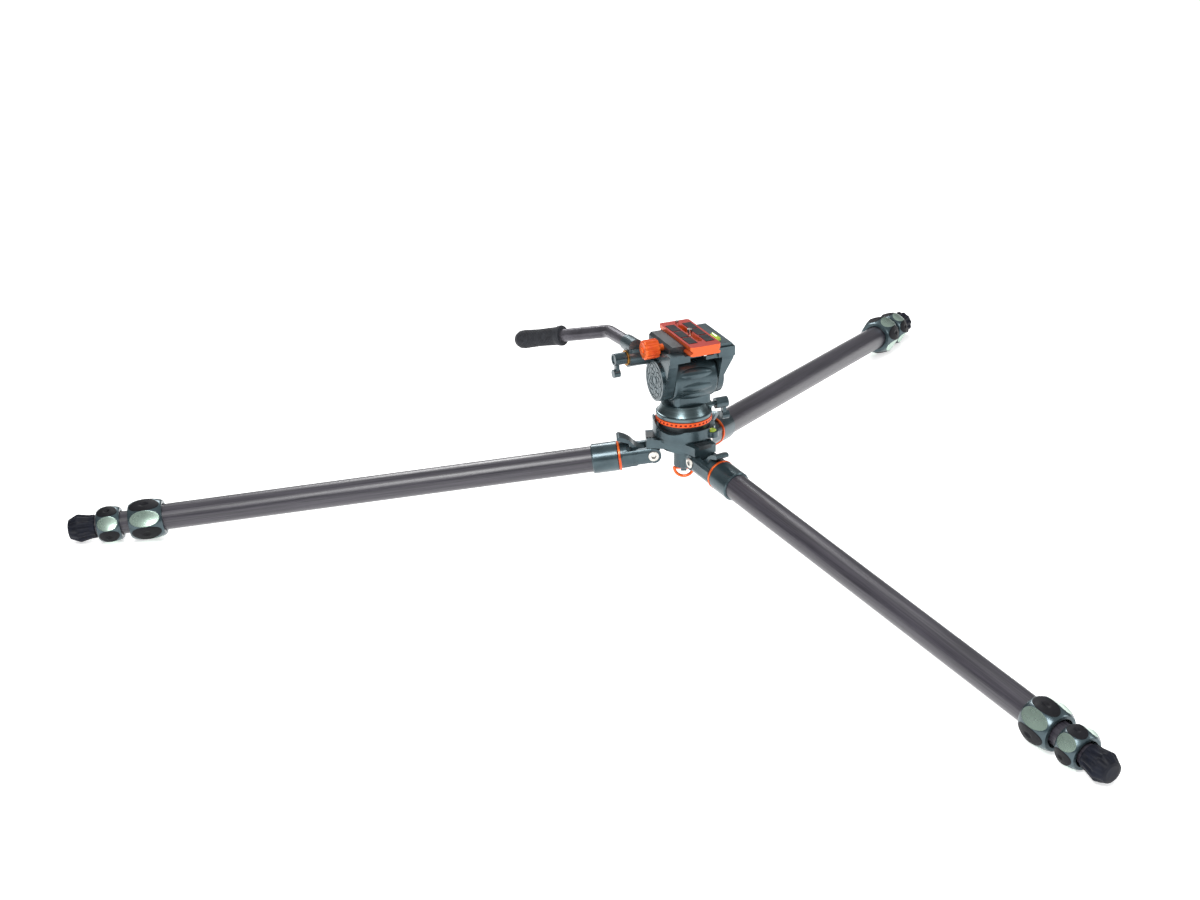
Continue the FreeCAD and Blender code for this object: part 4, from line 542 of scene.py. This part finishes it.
def lock_barrel(name, outline, material):
    """Tree for a twist lock: a swelling barrel with eight oval dishes sunk into it by rule."""
    tree = bpy.data.node_groups.new(name, "GeometryNodeTree")
    given = inputs_of(tree, LOCK_SIZES)
    rows, columns = 110, 320
    grid, u, angle = unit_grid(tree, rows, columns)
    marks = spread([(x * 40, r * 30) for x, r in outline], rows)
    share_x = line_curve(tree, u, [(m, x) for m, (x, _) in zip(marks, outline)])
    share_r = line_curve(tree, u, [(m, r) for m, (_, r) in zip(marks, outline)])
    along = add(
        tree, "ShaderNodeMath", {0: share_x, 1: given["Length"]}, operation="MULTIPLY"
    ).outputs[0]
    barrel = swell(tree, along, given)
    plain = add(tree, "ShaderNodeMath", {0: share_r, 1: barrel}, operation="MULTIPLY").outputs[0]
    # Angle to the nearest of eight oval centres.
    turned = add(
        tree, "ShaderNodeMath", {0: angle, 1: given["Turn"]}, operation="SUBTRACT"
    ).outputs[0]
    eight = add(tree, "ShaderNodeMath", {0: turned, 1: 8.0}, operation="MULTIPLY").outputs[0]
    eight = add(tree, "ShaderNodeMath", {0: eight}, operation="COSINE").outputs[0]
    eight = add(tree, "ShaderNodeMath", {0: eight}, operation="ARCCOSINE").outputs[0]
    round_way = add(
        tree, "ShaderNodeMath", {0: eight, 1: barrel}, operation="MULTIPLY"
    ).outputs[0]
    round_way = add(
        tree, "ShaderNodeMath", {0: round_way, 1: given["Oval Width"]}, operation="DIVIDE"
    ).outputs[0]
    round_way = add(tree, "ShaderNodeMath", {0: round_way, 1: 0.125}, operation="MULTIPLY").outputs[0]
    round_way = add(
        tree, "ShaderNodeMath", {0: round_way, 1: round_way}, operation="MULTIPLY"
    ).outputs[0]
    half = add(tree, "ShaderNodeMath", {0: given["Length"], 1: -0.5}, operation="MULTIPLY").outputs[0]
    long_way = add(tree, "ShaderNodeMath", {0: along, 1: half}, operation="ADD").outputs[0]
    long_way = add(
        tree, "ShaderNodeMath", {0: long_way, 1: given["Oval Length"]}, operation="DIVIDE"
    ).outputs[0]
    long_way = add(
        tree,
        "ShaderNodeMath",
        {0: long_way, 1: long_way, 2: round_way},
        operation="MULTIPLY_ADD",
    ).outputs[0]
    inside = add(tree, "ShaderNodeMath", {0: 1.0, 1: long_way}, operation="SUBTRACT").outputs[0]
    inside = add(tree, "ShaderNodeMath", {0: inside, 1: 0.0}, operation="MAXIMUM").outputs[0]
    outer = line_curve(tree, u, [(m, 1.0 if r > 0.9 else 0.0) for m, (_, r) in zip(marks, outline)])
    inside = add(tree, "ShaderNodeMath", {0: inside, 1: outer}, operation="MULTIPLY").outputs[0]
    sunk = add(
        tree, "ShaderNodeMath", {0: inside, 1: given["Oval Depth"]}, operation="MULTIPLY"
    ).outputs[0]
    final = add(tree, "ShaderNodeMath", {0: plain, 1: sunk}, operation="SUBTRACT").outputs[0]
    closed_out(tree, about_x(tree, grid, along, final, angle), material)
    return tree


def lock_ovals(name, fill, dimple, thick_mm, material):
    """Tree for the four ovals that lie in every second dish of a twist lock.

    fill is how far an oval levels its dish, and dimple how deep its middle is pressed in.
    """
    tree = bpy.data.node_groups.new(name, "GeometryNodeTree")
    given = inputs_of(tree, LOCK_SIZES)
    grid, u, angle = unit_grid(tree, 30, 48)
    share = line_curve(tree, u, [(0, 0), (0.6, 0.97), (0.7, 1.0), (0.8, 1.0), (1, 0)])
    lift = line_curve(tree, u, [(0, 1), (0.6, 1), (0.7, 0.75), (0.8, 0), (1, 0)])
    c = add(tree, "ShaderNodeMath", {0: angle}, operation="COSINE").outputs[0]
    s = add(tree, "ShaderNodeMath", {0: angle}, operation="SINE").outputs[0]
    reach_x = add(tree, "ShaderNodeMath", {0: share, 1: c}, operation="MULTIPLY").outputs[0]
    reach_x = add(
        tree, "ShaderNodeMath", {0: reach_x, 1: given["Oval Length"]}, operation="MULTIPLY"
    ).outputs[0]
    along = add(
        tree,
        "ShaderNodeMath",
        {0: given["Length"], 1: 0.5, 2: reach_x},
        operation="MULTIPLY_ADD",
    ).outputs[0]
    barrel = swell(tree, along, given)
    reach_a = add(tree, "ShaderNodeMath", {0: share, 1: s}, operation="MULTIPLY").outputs[0]
    reach_a = add(
        tree, "ShaderNodeMath", {0: reach_a, 1: given["Oval Width"]}, operation="MULTIPLY"
    ).outputs[0]
    bearing = add(tree, "ShaderNodeMath", {0: reach_a, 1: barrel}, operation="DIVIDE").outputs[0]
    square = add(tree, "ShaderNodeMath", {0: share, 1: share}, operation="MULTIPLY").outputs[0]
    deep = add(tree, "ShaderNodeMath", {0: 1.0, 1: square}, operation="SUBTRACT").outputs[0]
    deep = add(
        tree, "ShaderNodeMath", {0: deep, 1: given["Oval Depth"]}, operation="MULTIPLY"
    ).outputs[0]
    # The underside follows the dish, and the top is raised by the fill.
    open_share = add(
        tree, "ShaderNodeMath", {0: lift, 1: -fill, 2: 1.0}, operation="MULTIPLY_ADD"
    ).outputs[0]
    deep = add(tree, "ShaderNodeMath", {0: deep, 1: open_share}, operation="MULTIPLY").outputs[0]
    floor = add(tree, "ShaderNodeMath", {0: barrel, 1: deep}, operation="SUBTRACT").outputs[0]
    top = add(
        tree, "ShaderNodeMath", {0: lift, 1: thick_mm * MM, 2: floor}, operation="MULTIPLY_ADD"
    ).outputs[0]
    middle = add(
        tree, "ShaderNodeMath", {0: square, 1: -9.0, 2: 1.0}, operation="MULTIPLY_ADD"
    ).outputs[0]
    middle = add(tree, "ShaderNodeMath", {0: middle, 1: 0.0}, operation="MAXIMUM").outputs[0]
    middle = add(tree, "ShaderNodeMath", {0: middle, 1: lift}, operation="MULTIPLY").outputs[0]
    radius = add(
        tree,
        "ShaderNodeMath",
        {0: middle, 1: -dimple * MM, 2: top},
        operation="MULTIPLY_ADD",
    ).outputs[0]
    one = about_x(tree, grid, along, radius, bearing)

    def four(shape):
        """Repeats the oval every quarter turn, from the Turn input."""
        line = add(tree, "GeometryNodeMeshLine", {"Count": 4, "Offset": (0.0, 0.0, 0.0)}).outputs[0]
        index = add(tree, "GeometryNodeInputIndex").outputs[0]
        spin = add(
            tree,
            "ShaderNodeMath",
            {0: index, 1: math.pi / 2, 2: given["Turn"]},
            operation="MULTIPLY_ADD",
        ).outputs[0]
        turn = add(tree, "ShaderNodeCombineXYZ", {"X": spin}).outputs[0]
        return add(
            tree,
            "GeometryNodeInstanceOnPoints",
            {"Points": line, "Instance": shape, "Rotation": turn},
        ).outputs[0]

    closed_out(tree, one, material, four)
    return tree


def socket_bolts(material):
    """Tree for the three hinge bolts: a shank across, and a hex-socket head at each end."""
    tree = bpy.data.node_groups.new("hinge_bolt_set", "GeometryNodeTree")
    given = inputs_of(
        tree,
        {
            "Circle": 38 * MM,
            "Span": 34 * MM,
            "Head Radius": 6.3 * MM,
            "Head Height": 2.2 * MM,
            "Shank Radius": 4 * MM,
            "Socket Radius": 3.3 * MM,
            "Turn": 0.0,
        },
    )
    shank = add(
        tree,
        "GeometryNodeMeshCylinder",
        {"Vertices": 40, "Radius": given["Shank Radius"], "Depth": given["Span"]},
    ).outputs["Mesh"]
    disc = add(
        tree,
        "GeometryNodeMeshCylinder",
        {"Vertices": 48, "Radius": given["Head Radius"], "Depth": given["Head Height"]},
    ).outputs["Mesh"]
    crown = add(
        tree,
        "GeometryNodeMeshCone",
        {
            "Vertices": 48,
            "Radius Bottom": given["Head Radius"],
            "Radius Top": given["Shank Radius"],
            "Depth": 0.5 * MM,
        },
    ).outputs["Mesh"]
    half = add(
        tree, "ShaderNodeMath", {0: given["Head Height"], 1: 0.5}, operation="MULTIPLY"
    ).outputs[0]
    less = add(tree, "ShaderNodeMath", {0: half, 1: -0.02 * MM}, operation="ADD").outputs[0]
    up = add(tree, "ShaderNodeCombineXYZ", {"Z": less}).outputs[0]
    crown = add(
        tree, "GeometryNodeTransform", {"Geometry": crown, "Translation": up}
    ).outputs[0]
    hexagon = add(
        tree,
        "GeometryNodeMeshCylinder",
        {"Vertices": 6, "Radius": given["Socket Radius"], "Depth": 4.2 * MM},
    ).outputs["Mesh"]
    lifted = add(
        tree, "GeometryNodeTransform", {"Geometry": hexagon, "Translation": (0, 0, 2.6 * MM)}
    ).outputs[0]
    head = add(
        tree,
        "GeometryNodeMeshBoolean",
        {"Mesh 2": disc},
        operation="UNION",
    )
    tree.links.new(crown, head.inputs["Mesh 2"])
    head = add(
        tree,
        "GeometryNodeMeshBoolean",
        {"Mesh 1": head.outputs["Mesh"], "Mesh 2": lifted},
        operation="DIFFERENCE",
    ).outputs["Mesh"]
    out = add(
        tree, "ShaderNodeMath", {0: given["Span"], 1: 0.5, 2: half}, operation="MULTIPLY_ADD"
    ).outputs[0]
    ends = [
        add(tree, "ShaderNodeCombineXYZ", {"Z": out}).outputs[0],
        add(
            tree,
            "ShaderNodeCombineXYZ",
            {"Z": add(tree, "ShaderNodeMath", {0: out, 1: -1.0}, operation="MULTIPLY").outputs[0]},
        ).outputs[0],
    ]
    near = add(tree, "GeometryNodeTransform", {"Geometry": head, "Translation": ends[0]}).outputs[0]
    far = add(
        tree,
        "GeometryNodeTransform",
        {"Geometry": head, "Translation": ends[1], "Rotation": (math.pi, 0, 0)},
    ).outputs[0]
    bolt = add(tree, "GeometryNodeJoinGeometry", {"Geometry": shank})
    tree.links.new(near, bolt.inputs[0])
    tree.links.new(far, bolt.inputs[0])

    def three(shape):
        """One bolt on each leg's hinge, lying along the circle's tangent."""
        line = add(tree, "GeometryNodeMeshLine", {"Count": 3, "Offset": (0.0, 0.0, 0.0)}).outputs[0]
        index = add(tree, "GeometryNodeInputIndex").outputs[0]
        spin = add(
            tree,
            "ShaderNodeMath",
            {0: index, 1: 2 * math.pi / 3, 2: given["Turn"]},
            operation="MULTIPLY_ADD",
        ).outputs[0]
        c = add(tree, "ShaderNodeMath", {0: spin}, operation="COSINE").outputs[0]
        s = add(tree, "ShaderNodeMath", {0: spin}, operation="SINE").outputs[0]
        x = add(tree, "ShaderNodeMath", {0: c, 1: given["Circle"]}, operation="MULTIPLY").outputs[0]
        y = add(tree, "ShaderNodeMath", {0: s, 1: given["Circle"]}, operation="MULTIPLY").outputs[0]
        spot = add(tree, "ShaderNodeCombineXYZ", {"X": x, "Y": y}).outputs[0]
        moved = add(
            tree, "GeometryNodeSetPosition", {"Geometry": line, "Position": spot}
        ).outputs[0]
        turn = add(tree, "ShaderNodeCombineXYZ", {"X": math.pi / 2, "Z": spin}).outputs[0]
        return add(
            tree,
            "GeometryNodeInstanceOnPoints",
            {"Points": moved, "Instance": shape, "Rotation": turn},
        ).outputs[0]

    closed_out(tree, bolt.outputs[0], material, three)
    return tree


def piece(name, tree, sizes, matrix, body, nodes=()):
    """Runs a tree once, keeps its result as a plain mesh in place, and hands it to its body."""
    maker = bpy.data.objects.new(name + "_maker", bpy.data.meshes.new(name + "_maker"))
    bpy.context.scene.collection.objects.link(maker)
    modifier = maker.modifiers.new("shape", "NODES")
    modifier.node_group = tree
    for item in tree.interface.items_tree:
        if item.in_out == "INPUT" and item.name in sizes:
            modifier[item.identifier] = float(sizes[item.name])
    graph = bpy.context.evaluated_depsgraph_get()
    mesh = bpy.data.meshes.new_from_object(maker.evaluated_get(graph))
    maker.modifiers.remove(modifier)
    bpy.data.objects.remove(maker)
    mesh.transform(matrix)
    shape = bmesh.new()
    shape.from_mesh(mesh)
    bmesh.ops.recalc_face_normals(shape, faces=shape.faces)
    shape.to_mesh(mesh)
    shape.free()
    made = bpy.data.objects.new(name, mesh)
    bpy.context.scene.collection.objects.link(made)
    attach(made, body)
    if nodes:
        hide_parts(*nodes)
    return made


# ---------------------------------------------------------------- pieces

# How far each lock stands turned about its leg, in degrees: a metal oval faces out and up.
# Bearing of the first pale oval on each leg's locks, in degrees about the leg.
LOCK_TURN = {"front": 147.0, "right": 118.0, "left": 205.0}


def build_locks():
    """Both twist locks of each leg, with pale dished ovals and soft black ones between."""
    outline = [(0, 0.81), (0, 0.985), (0.02, 1), (0.98, 1), (1, 0.985), (1, 0.81), (0, 0.81)]
    barrel = lock_barrel("twist_lock_barrel", outline, FINISH["casting"])
    pale = lock_ovals("twist_lock_dishes", 0.0, 0.0, 0.18, FINISH["dish"])
    soft = lock_ovals("twist_lock_pads", 0.6, 1.7, 0.5, FINISH["rubber"])
    for leg in LEGS:
        for which in ("upper", "lower"):
            matrix = joint_frame(f"{which}_lock_turn_{leg}", Vector((0, 0, 1)))
            start, end, radius = reach(f"{which}_lock_{leg}", matrix)
            # The collet's nose takes the last stretch of the CAD lock.
            length = (end - start) * 0.93
            sizes = {
                "Length": length,
                "End Radius": radius * 0.79,
                "Swell": radius * 0.207,
                "Oval Length": length * 0.44,
                "Oval Width": radius * 0.385,
                "Oval Depth": radius * 0.1,
                "Turn": math.radians(LOCK_TURN[leg]),
            }
            place = matrix @ Matrix.Translation((start, 0, 0))
            body = f"{which}_twist_{leg}"
            name = f"{which}_lock"
            piece(f"{name}_barrel_{leg}", barrel, sizes, place, body, [f"{name}_{leg}"])
            piece(f"{name}_dishes_{leg}", pale, sizes, place, body)
            sizes["Turn"] += math.pi / 4
            pads = f"{name}_pads_{leg}"
            piece(f"{name}_soft_ovals_{leg}", soft, sizes, place, body, [pads])


def build_boots():
    """Rubber feet: a fluted boot that flares and closes in a blunt faceted nose."""
    for leg in LEGS:
        matrix = joint_frame(f"lower_lock_turn_{leg}", Vector((0, 0, 1)))
        start, end, radius = reach(f"foot_{leg}", matrix)
        stud, nose_gap = 15.8, 1.0
        length = (end - start) / MM - stud - nose_gap
        wide = radius / MM * 0.93
        outline = [
            (0, 0),
            (0, wide * 0.78),
            (0.8, wide * 0.84),
            (length * 0.2, wide * 0.85),
            (length * 0.5, wide * 0.96),
            (length * 0.6, wide),
            (length * 0.66, wide * 0.99),
            (length - 3, wide * 0.76),
            (length - 1, wide * 0.7),
            (length, wide * 0.52),
            (length, 0),
        ]
        carved = [0, 0, 0.3, 0.8, 1, 0.9, 0.7, 0.15, 0, 0, 0]
        boot = fluted_turning(f"boot_{leg}", outline, carved, 90, 200, FINISH["boot"])
        place = matrix @ Matrix.Translation((start + stud * MM, 0, 0))
        sizes = {"Depth": 2.2 * MM, "Flutes": 12}
        piece(f"boot_fluted_{leg}", boot, sizes, place, f"lower_{leg}", [f"foot_{leg}"])


def build_level_ring():
    """Coloured ring under the pan base, with a band of grip notches."""
    low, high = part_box("level_ring")
    height = (high.z - low.z) / MM
    wide = (high.x - low.x) / 2 / MM
    bore = wide - 4.4
    outline = [
        (0, bore),
        (0, wide - 0.5),
        (0.5, wide),
        (height * 0.3, wide),
        (height * 0.34, wide - 0.05),
        (height * 0.66, wide - 0.05),
        (height * 0.7, wide),
        (height - 0.5, wide),
        (height, wide - 0.5),
        (height, bore),
        (0, bore),
    ]
    carved = [0, 0, 0, 0, 1, 1, 0, 0, 0, 0, 0]
    tree = fluted_turning("level_ring_notched", outline, carved, 60, 720, FINISH["ring"])
    spot = Vector(((low.x + high.x) / 2, (low.y + high.y) / 2, low.z))
    place = Matrix.Translation(spot) @ Matrix.Rotation(-math.pi / 2, 4, "Y")
    sizes = {"Depth": 1.1 * MM, "Flutes": RING_NOTCHES}
    piece("level_ring_notched", tree, sizes, place, "ball", ["level_ring"])


def build_grip():
    """Foam-rubber grip: a collar, rings by rule along the hand's width, and a round end."""
    body = frame["nodes"]["grip"]
    points = [v.co.copy() for v in body.data.vertices]
    middle = sum(points, Vector()) / len(points)
    bar = [v.co for v in frame["nodes"]["pan_bar"].data.vertices]
    tail = max(bar, key=lambda p: (p - Vector(JOINTS["handle_angle"]["pos_m"])).length)
    x = principal(points)
    if x.dot(tail - middle) < 0:
        x = -x
    along = [(p - middle).dot(x) for p in points]
    start, end = min(along), max(along)
    length = (end - start) / MM
    wide = max((p - middle - x * (p - middle).dot(x)).length for p in points) / MM
    bore = 8.05
    slim = wide - 1.2
    outline = [
        (0, bore),
        (0, wide - 0.6),
        (1.5, wide),
        (5, wide - 0.3),
        (8.5, slim - 0.2),
        (12, slim - 0.3),
        (length * 0.5, slim - 0.9),
        (length - 14, slim),
        (length - 8, slim - 0.5),
        (length - 3.5, slim - 3),
        (length - 1, slim - 6.4),
        (length, slim - 9),
        (length, 0),
    ]
    carved = [0, 0, 0, 0, 0, 1, 1, 1, 0, 0, 0, 0, 0]
    tree = fluted_turning("grip_ringed", outline, carved, 260, 96, FINISH["foam"])
    z = x.orthogonal().normalized()
    turn = Matrix((x, z.cross(x), z)).transposed().to_4x4()
    place = Matrix.Translation(middle + x * start) @ turn
    sizes = {"Depth": 0.7 * MM, "Rings": 34}
    piece("grip_ringed", tree, sizes, place, "handle", ["grip"])


def principal(points):
    """Direction in which a cloud of points is longest."""
    middle = sum(points, Vector()) / len(points)
    direction = Vector((1, 0.3, 0.2)).normalized()
    for _ in range(40):
        total = Vector()
        for point in points:
            offset = point - middle
            total += offset * offset.dot(direction)
        direction = total.normalized()
    return direction


def build_bolts():
    """The three hinge bolts, each with a hex socket in both heads."""
    centre = Vector((PAN_AXIS.x, PAN_AXIS.y, 0))
    hinge = Vector(JOINTS["leg_fold_front"]["pos_m"])
    axis = Vector(JOINTS["leg_fold_front"]["axis"])
    points = [v.co for v in frame["nodes"]["hinge_bolts"].data.vertices]
    mine = [p for p in points if (p - hinge).length < 30 * MM]
    span = max(abs((p - hinge).dot(axis)) for p in mine) * 2
    head = max((p - hinge - axis * (p - hinge).dot(axis)).length for p in mine)
    thick = 2.2 * MM
    sizes = {
        "Circle": (Vector((hinge.x, hinge.y, 0)) - centre).length,
        "Span": span - 2 * thick,
        "Head Radius": head,
        "Head Height": thick,
        "Socket Radius": head * 0.52,
        "Turn": -math.pi / 2,
    }
    place = Matrix.Translation((centre.x, centre.y, hinge.z))
    tree = socket_bolts(FINISH["steel"])
    piece("hinge_bolts_hex", tree, sizes, place, "apex", ["hinge_bolts"])


def build_clamp_knob():
    """Lobed knob of the moving jaw, with its neck and a dished end."""
    matrix = joint_frame("clamp_knob_turn", Vector((0, 0, 1)))
    start, end, radius = reach("clamp_knob", matrix)
    wide = radius / MM
    length = (end - start) / MM
    body = 19.0
    neck_end, neck, screw = body + 7.2, 4.2, 2.5
    outline = [
        (1.4, 0),
        (1.4, 3.2),
        (0, 3.6),
        (0, wide - 2.2),
        (0.6, wide - 0.8),
        (1.6, wide),
        (body - 1.2, wide),
        (body, wide - 1.2),
        (body, neck),
        (neck_end, neck),
        (neck_end, screw),
        (length, screw),
        (length, 0),
    ]
    carved = [0, 0, 0, 0.3, 0.9, 1, 1, 0.8, 0, 0, 0, 0, 0]
    tree = fluted_turning("clamp_knob_lobed", outline, carved, 110, 240, FINISH["orange"])
    sizes = {"Depth": 1.3 * MM, "Flutes": 12}
    place = matrix @ Matrix.Translation((start, 0, 0))
    piece("clamp_knob_lobed", tree, sizes, place, "jaw_knob", ["clamp_knob"])


# ---------------------------------------------------------------- studio


def studio():
    """Pale floor, one broad key, two fills, and a sky that darkens to its rim for the metals."""
    bpy.ops.mesh.primitive_plane_add(size=14)
    floor = bpy.context.object
    floor.name = "floor"
    material, _, shader, _ = surface("studio_floor_matt", "#f6f6f6", 0.0, 0.9)
    shader.inputs["Emission Color"].default_value = (1, 1, 1, 1)
    shader.inputs["Emission Strength"].default_value = 0.62
    floor.data.materials.append(material)
    lamps = (
        ("key", (-1.5, -1.2, 2.0), 46, 0.9),
        ("fill", (1.9, -1.4, 1.3), 12, 0.8),
        ("back", (0.6, 2.2, 1.8), 34, 1.0),
    )
    for name, spot, power, size in lamps:
        data = bpy.data.lights.new(name, "AREA")
        data.energy = power
        data.size = size
        lamp = bpy.data.objects.new(name, data)
        lamp.location = spot
        aim = Vector((0, 0.1, 0.1)) - Vector(spot)
        lamp.rotation_euler = aim.to_track_quat("-Z", "Y").to_euler()
        bpy.context.scene.collection.objects.link(lamp)
    world = bpy.data.worlds.new("studio")
    world.use_nodes = True
    sky = world.node_tree
    way = add(sky, "ShaderNodeTexCoord").outputs["Generated"]
    height = add(sky, "ShaderNodeSeparateXYZ", {0: way}).outputs["Z"]
    ramp = add(sky, "ShaderNodeValToRGB", {"Fac": height})
    ramp.color_ramp.elements[0].position = 0.05
    ramp.color_ramp.elements[0].color = (0.12, 0.13, 0.14, 1)
    ramp.color_ramp.elements[1].position = 0.75
    ramp.color_ramp.elements[1].color = (1, 1, 1, 1)
    background = sky.nodes["Background"]
    sky.links.new(ramp.outputs["Color"], background.inputs["Color"])
    background.inputs["Strength"].default_value = 0.55
    bpy.context.scene.world = world
    bpy.context.scene.view_settings.view_transform = "Standard"


def camera():
    """Long lens from the front left, a little above the head."""
    data = bpy.data.cameras.new("camera")
    data.sensor_width = 36
    data.lens = 71.9
    data.clip_end = 50
    distance, above_floor = 2.946, 0.1
    round_left, swing = math.radians(-34.27), math.radians(2.0)
    lens = bpy.data.objects.new("camera", data)
    bpy.context.scene.collection.objects.link(lens)
    rise = math.radians(23.16)
    back = Vector((0, -math.cos(rise), math.sin(rise)))
    up = Vector((0, math.sin(rise), math.cos(rise)))
    looking = Matrix((Vector((1, 0, 0)), up, back)).transposed()
    aside = Matrix.Rotation(swing, 3, "Y")
    aim = (looking @ aside).to_4x4()
    stand = Matrix.Translation(Vector((0, 0, above_floor)) + back * distance)
    around = Matrix.Rotation(round_left, 4, "Z")
    lens.matrix_world = Matrix.Translation((PAN_AXIS.x, PAN_AXIS.y, 0)) @ around @ stand @ aim
    bpy.context.scene.camera = lens


finish_cad()
build_locks()
build_boots()
build_level_ring()
build_grip()
build_bolts()
build_clamp_knob()
studio()
camera()
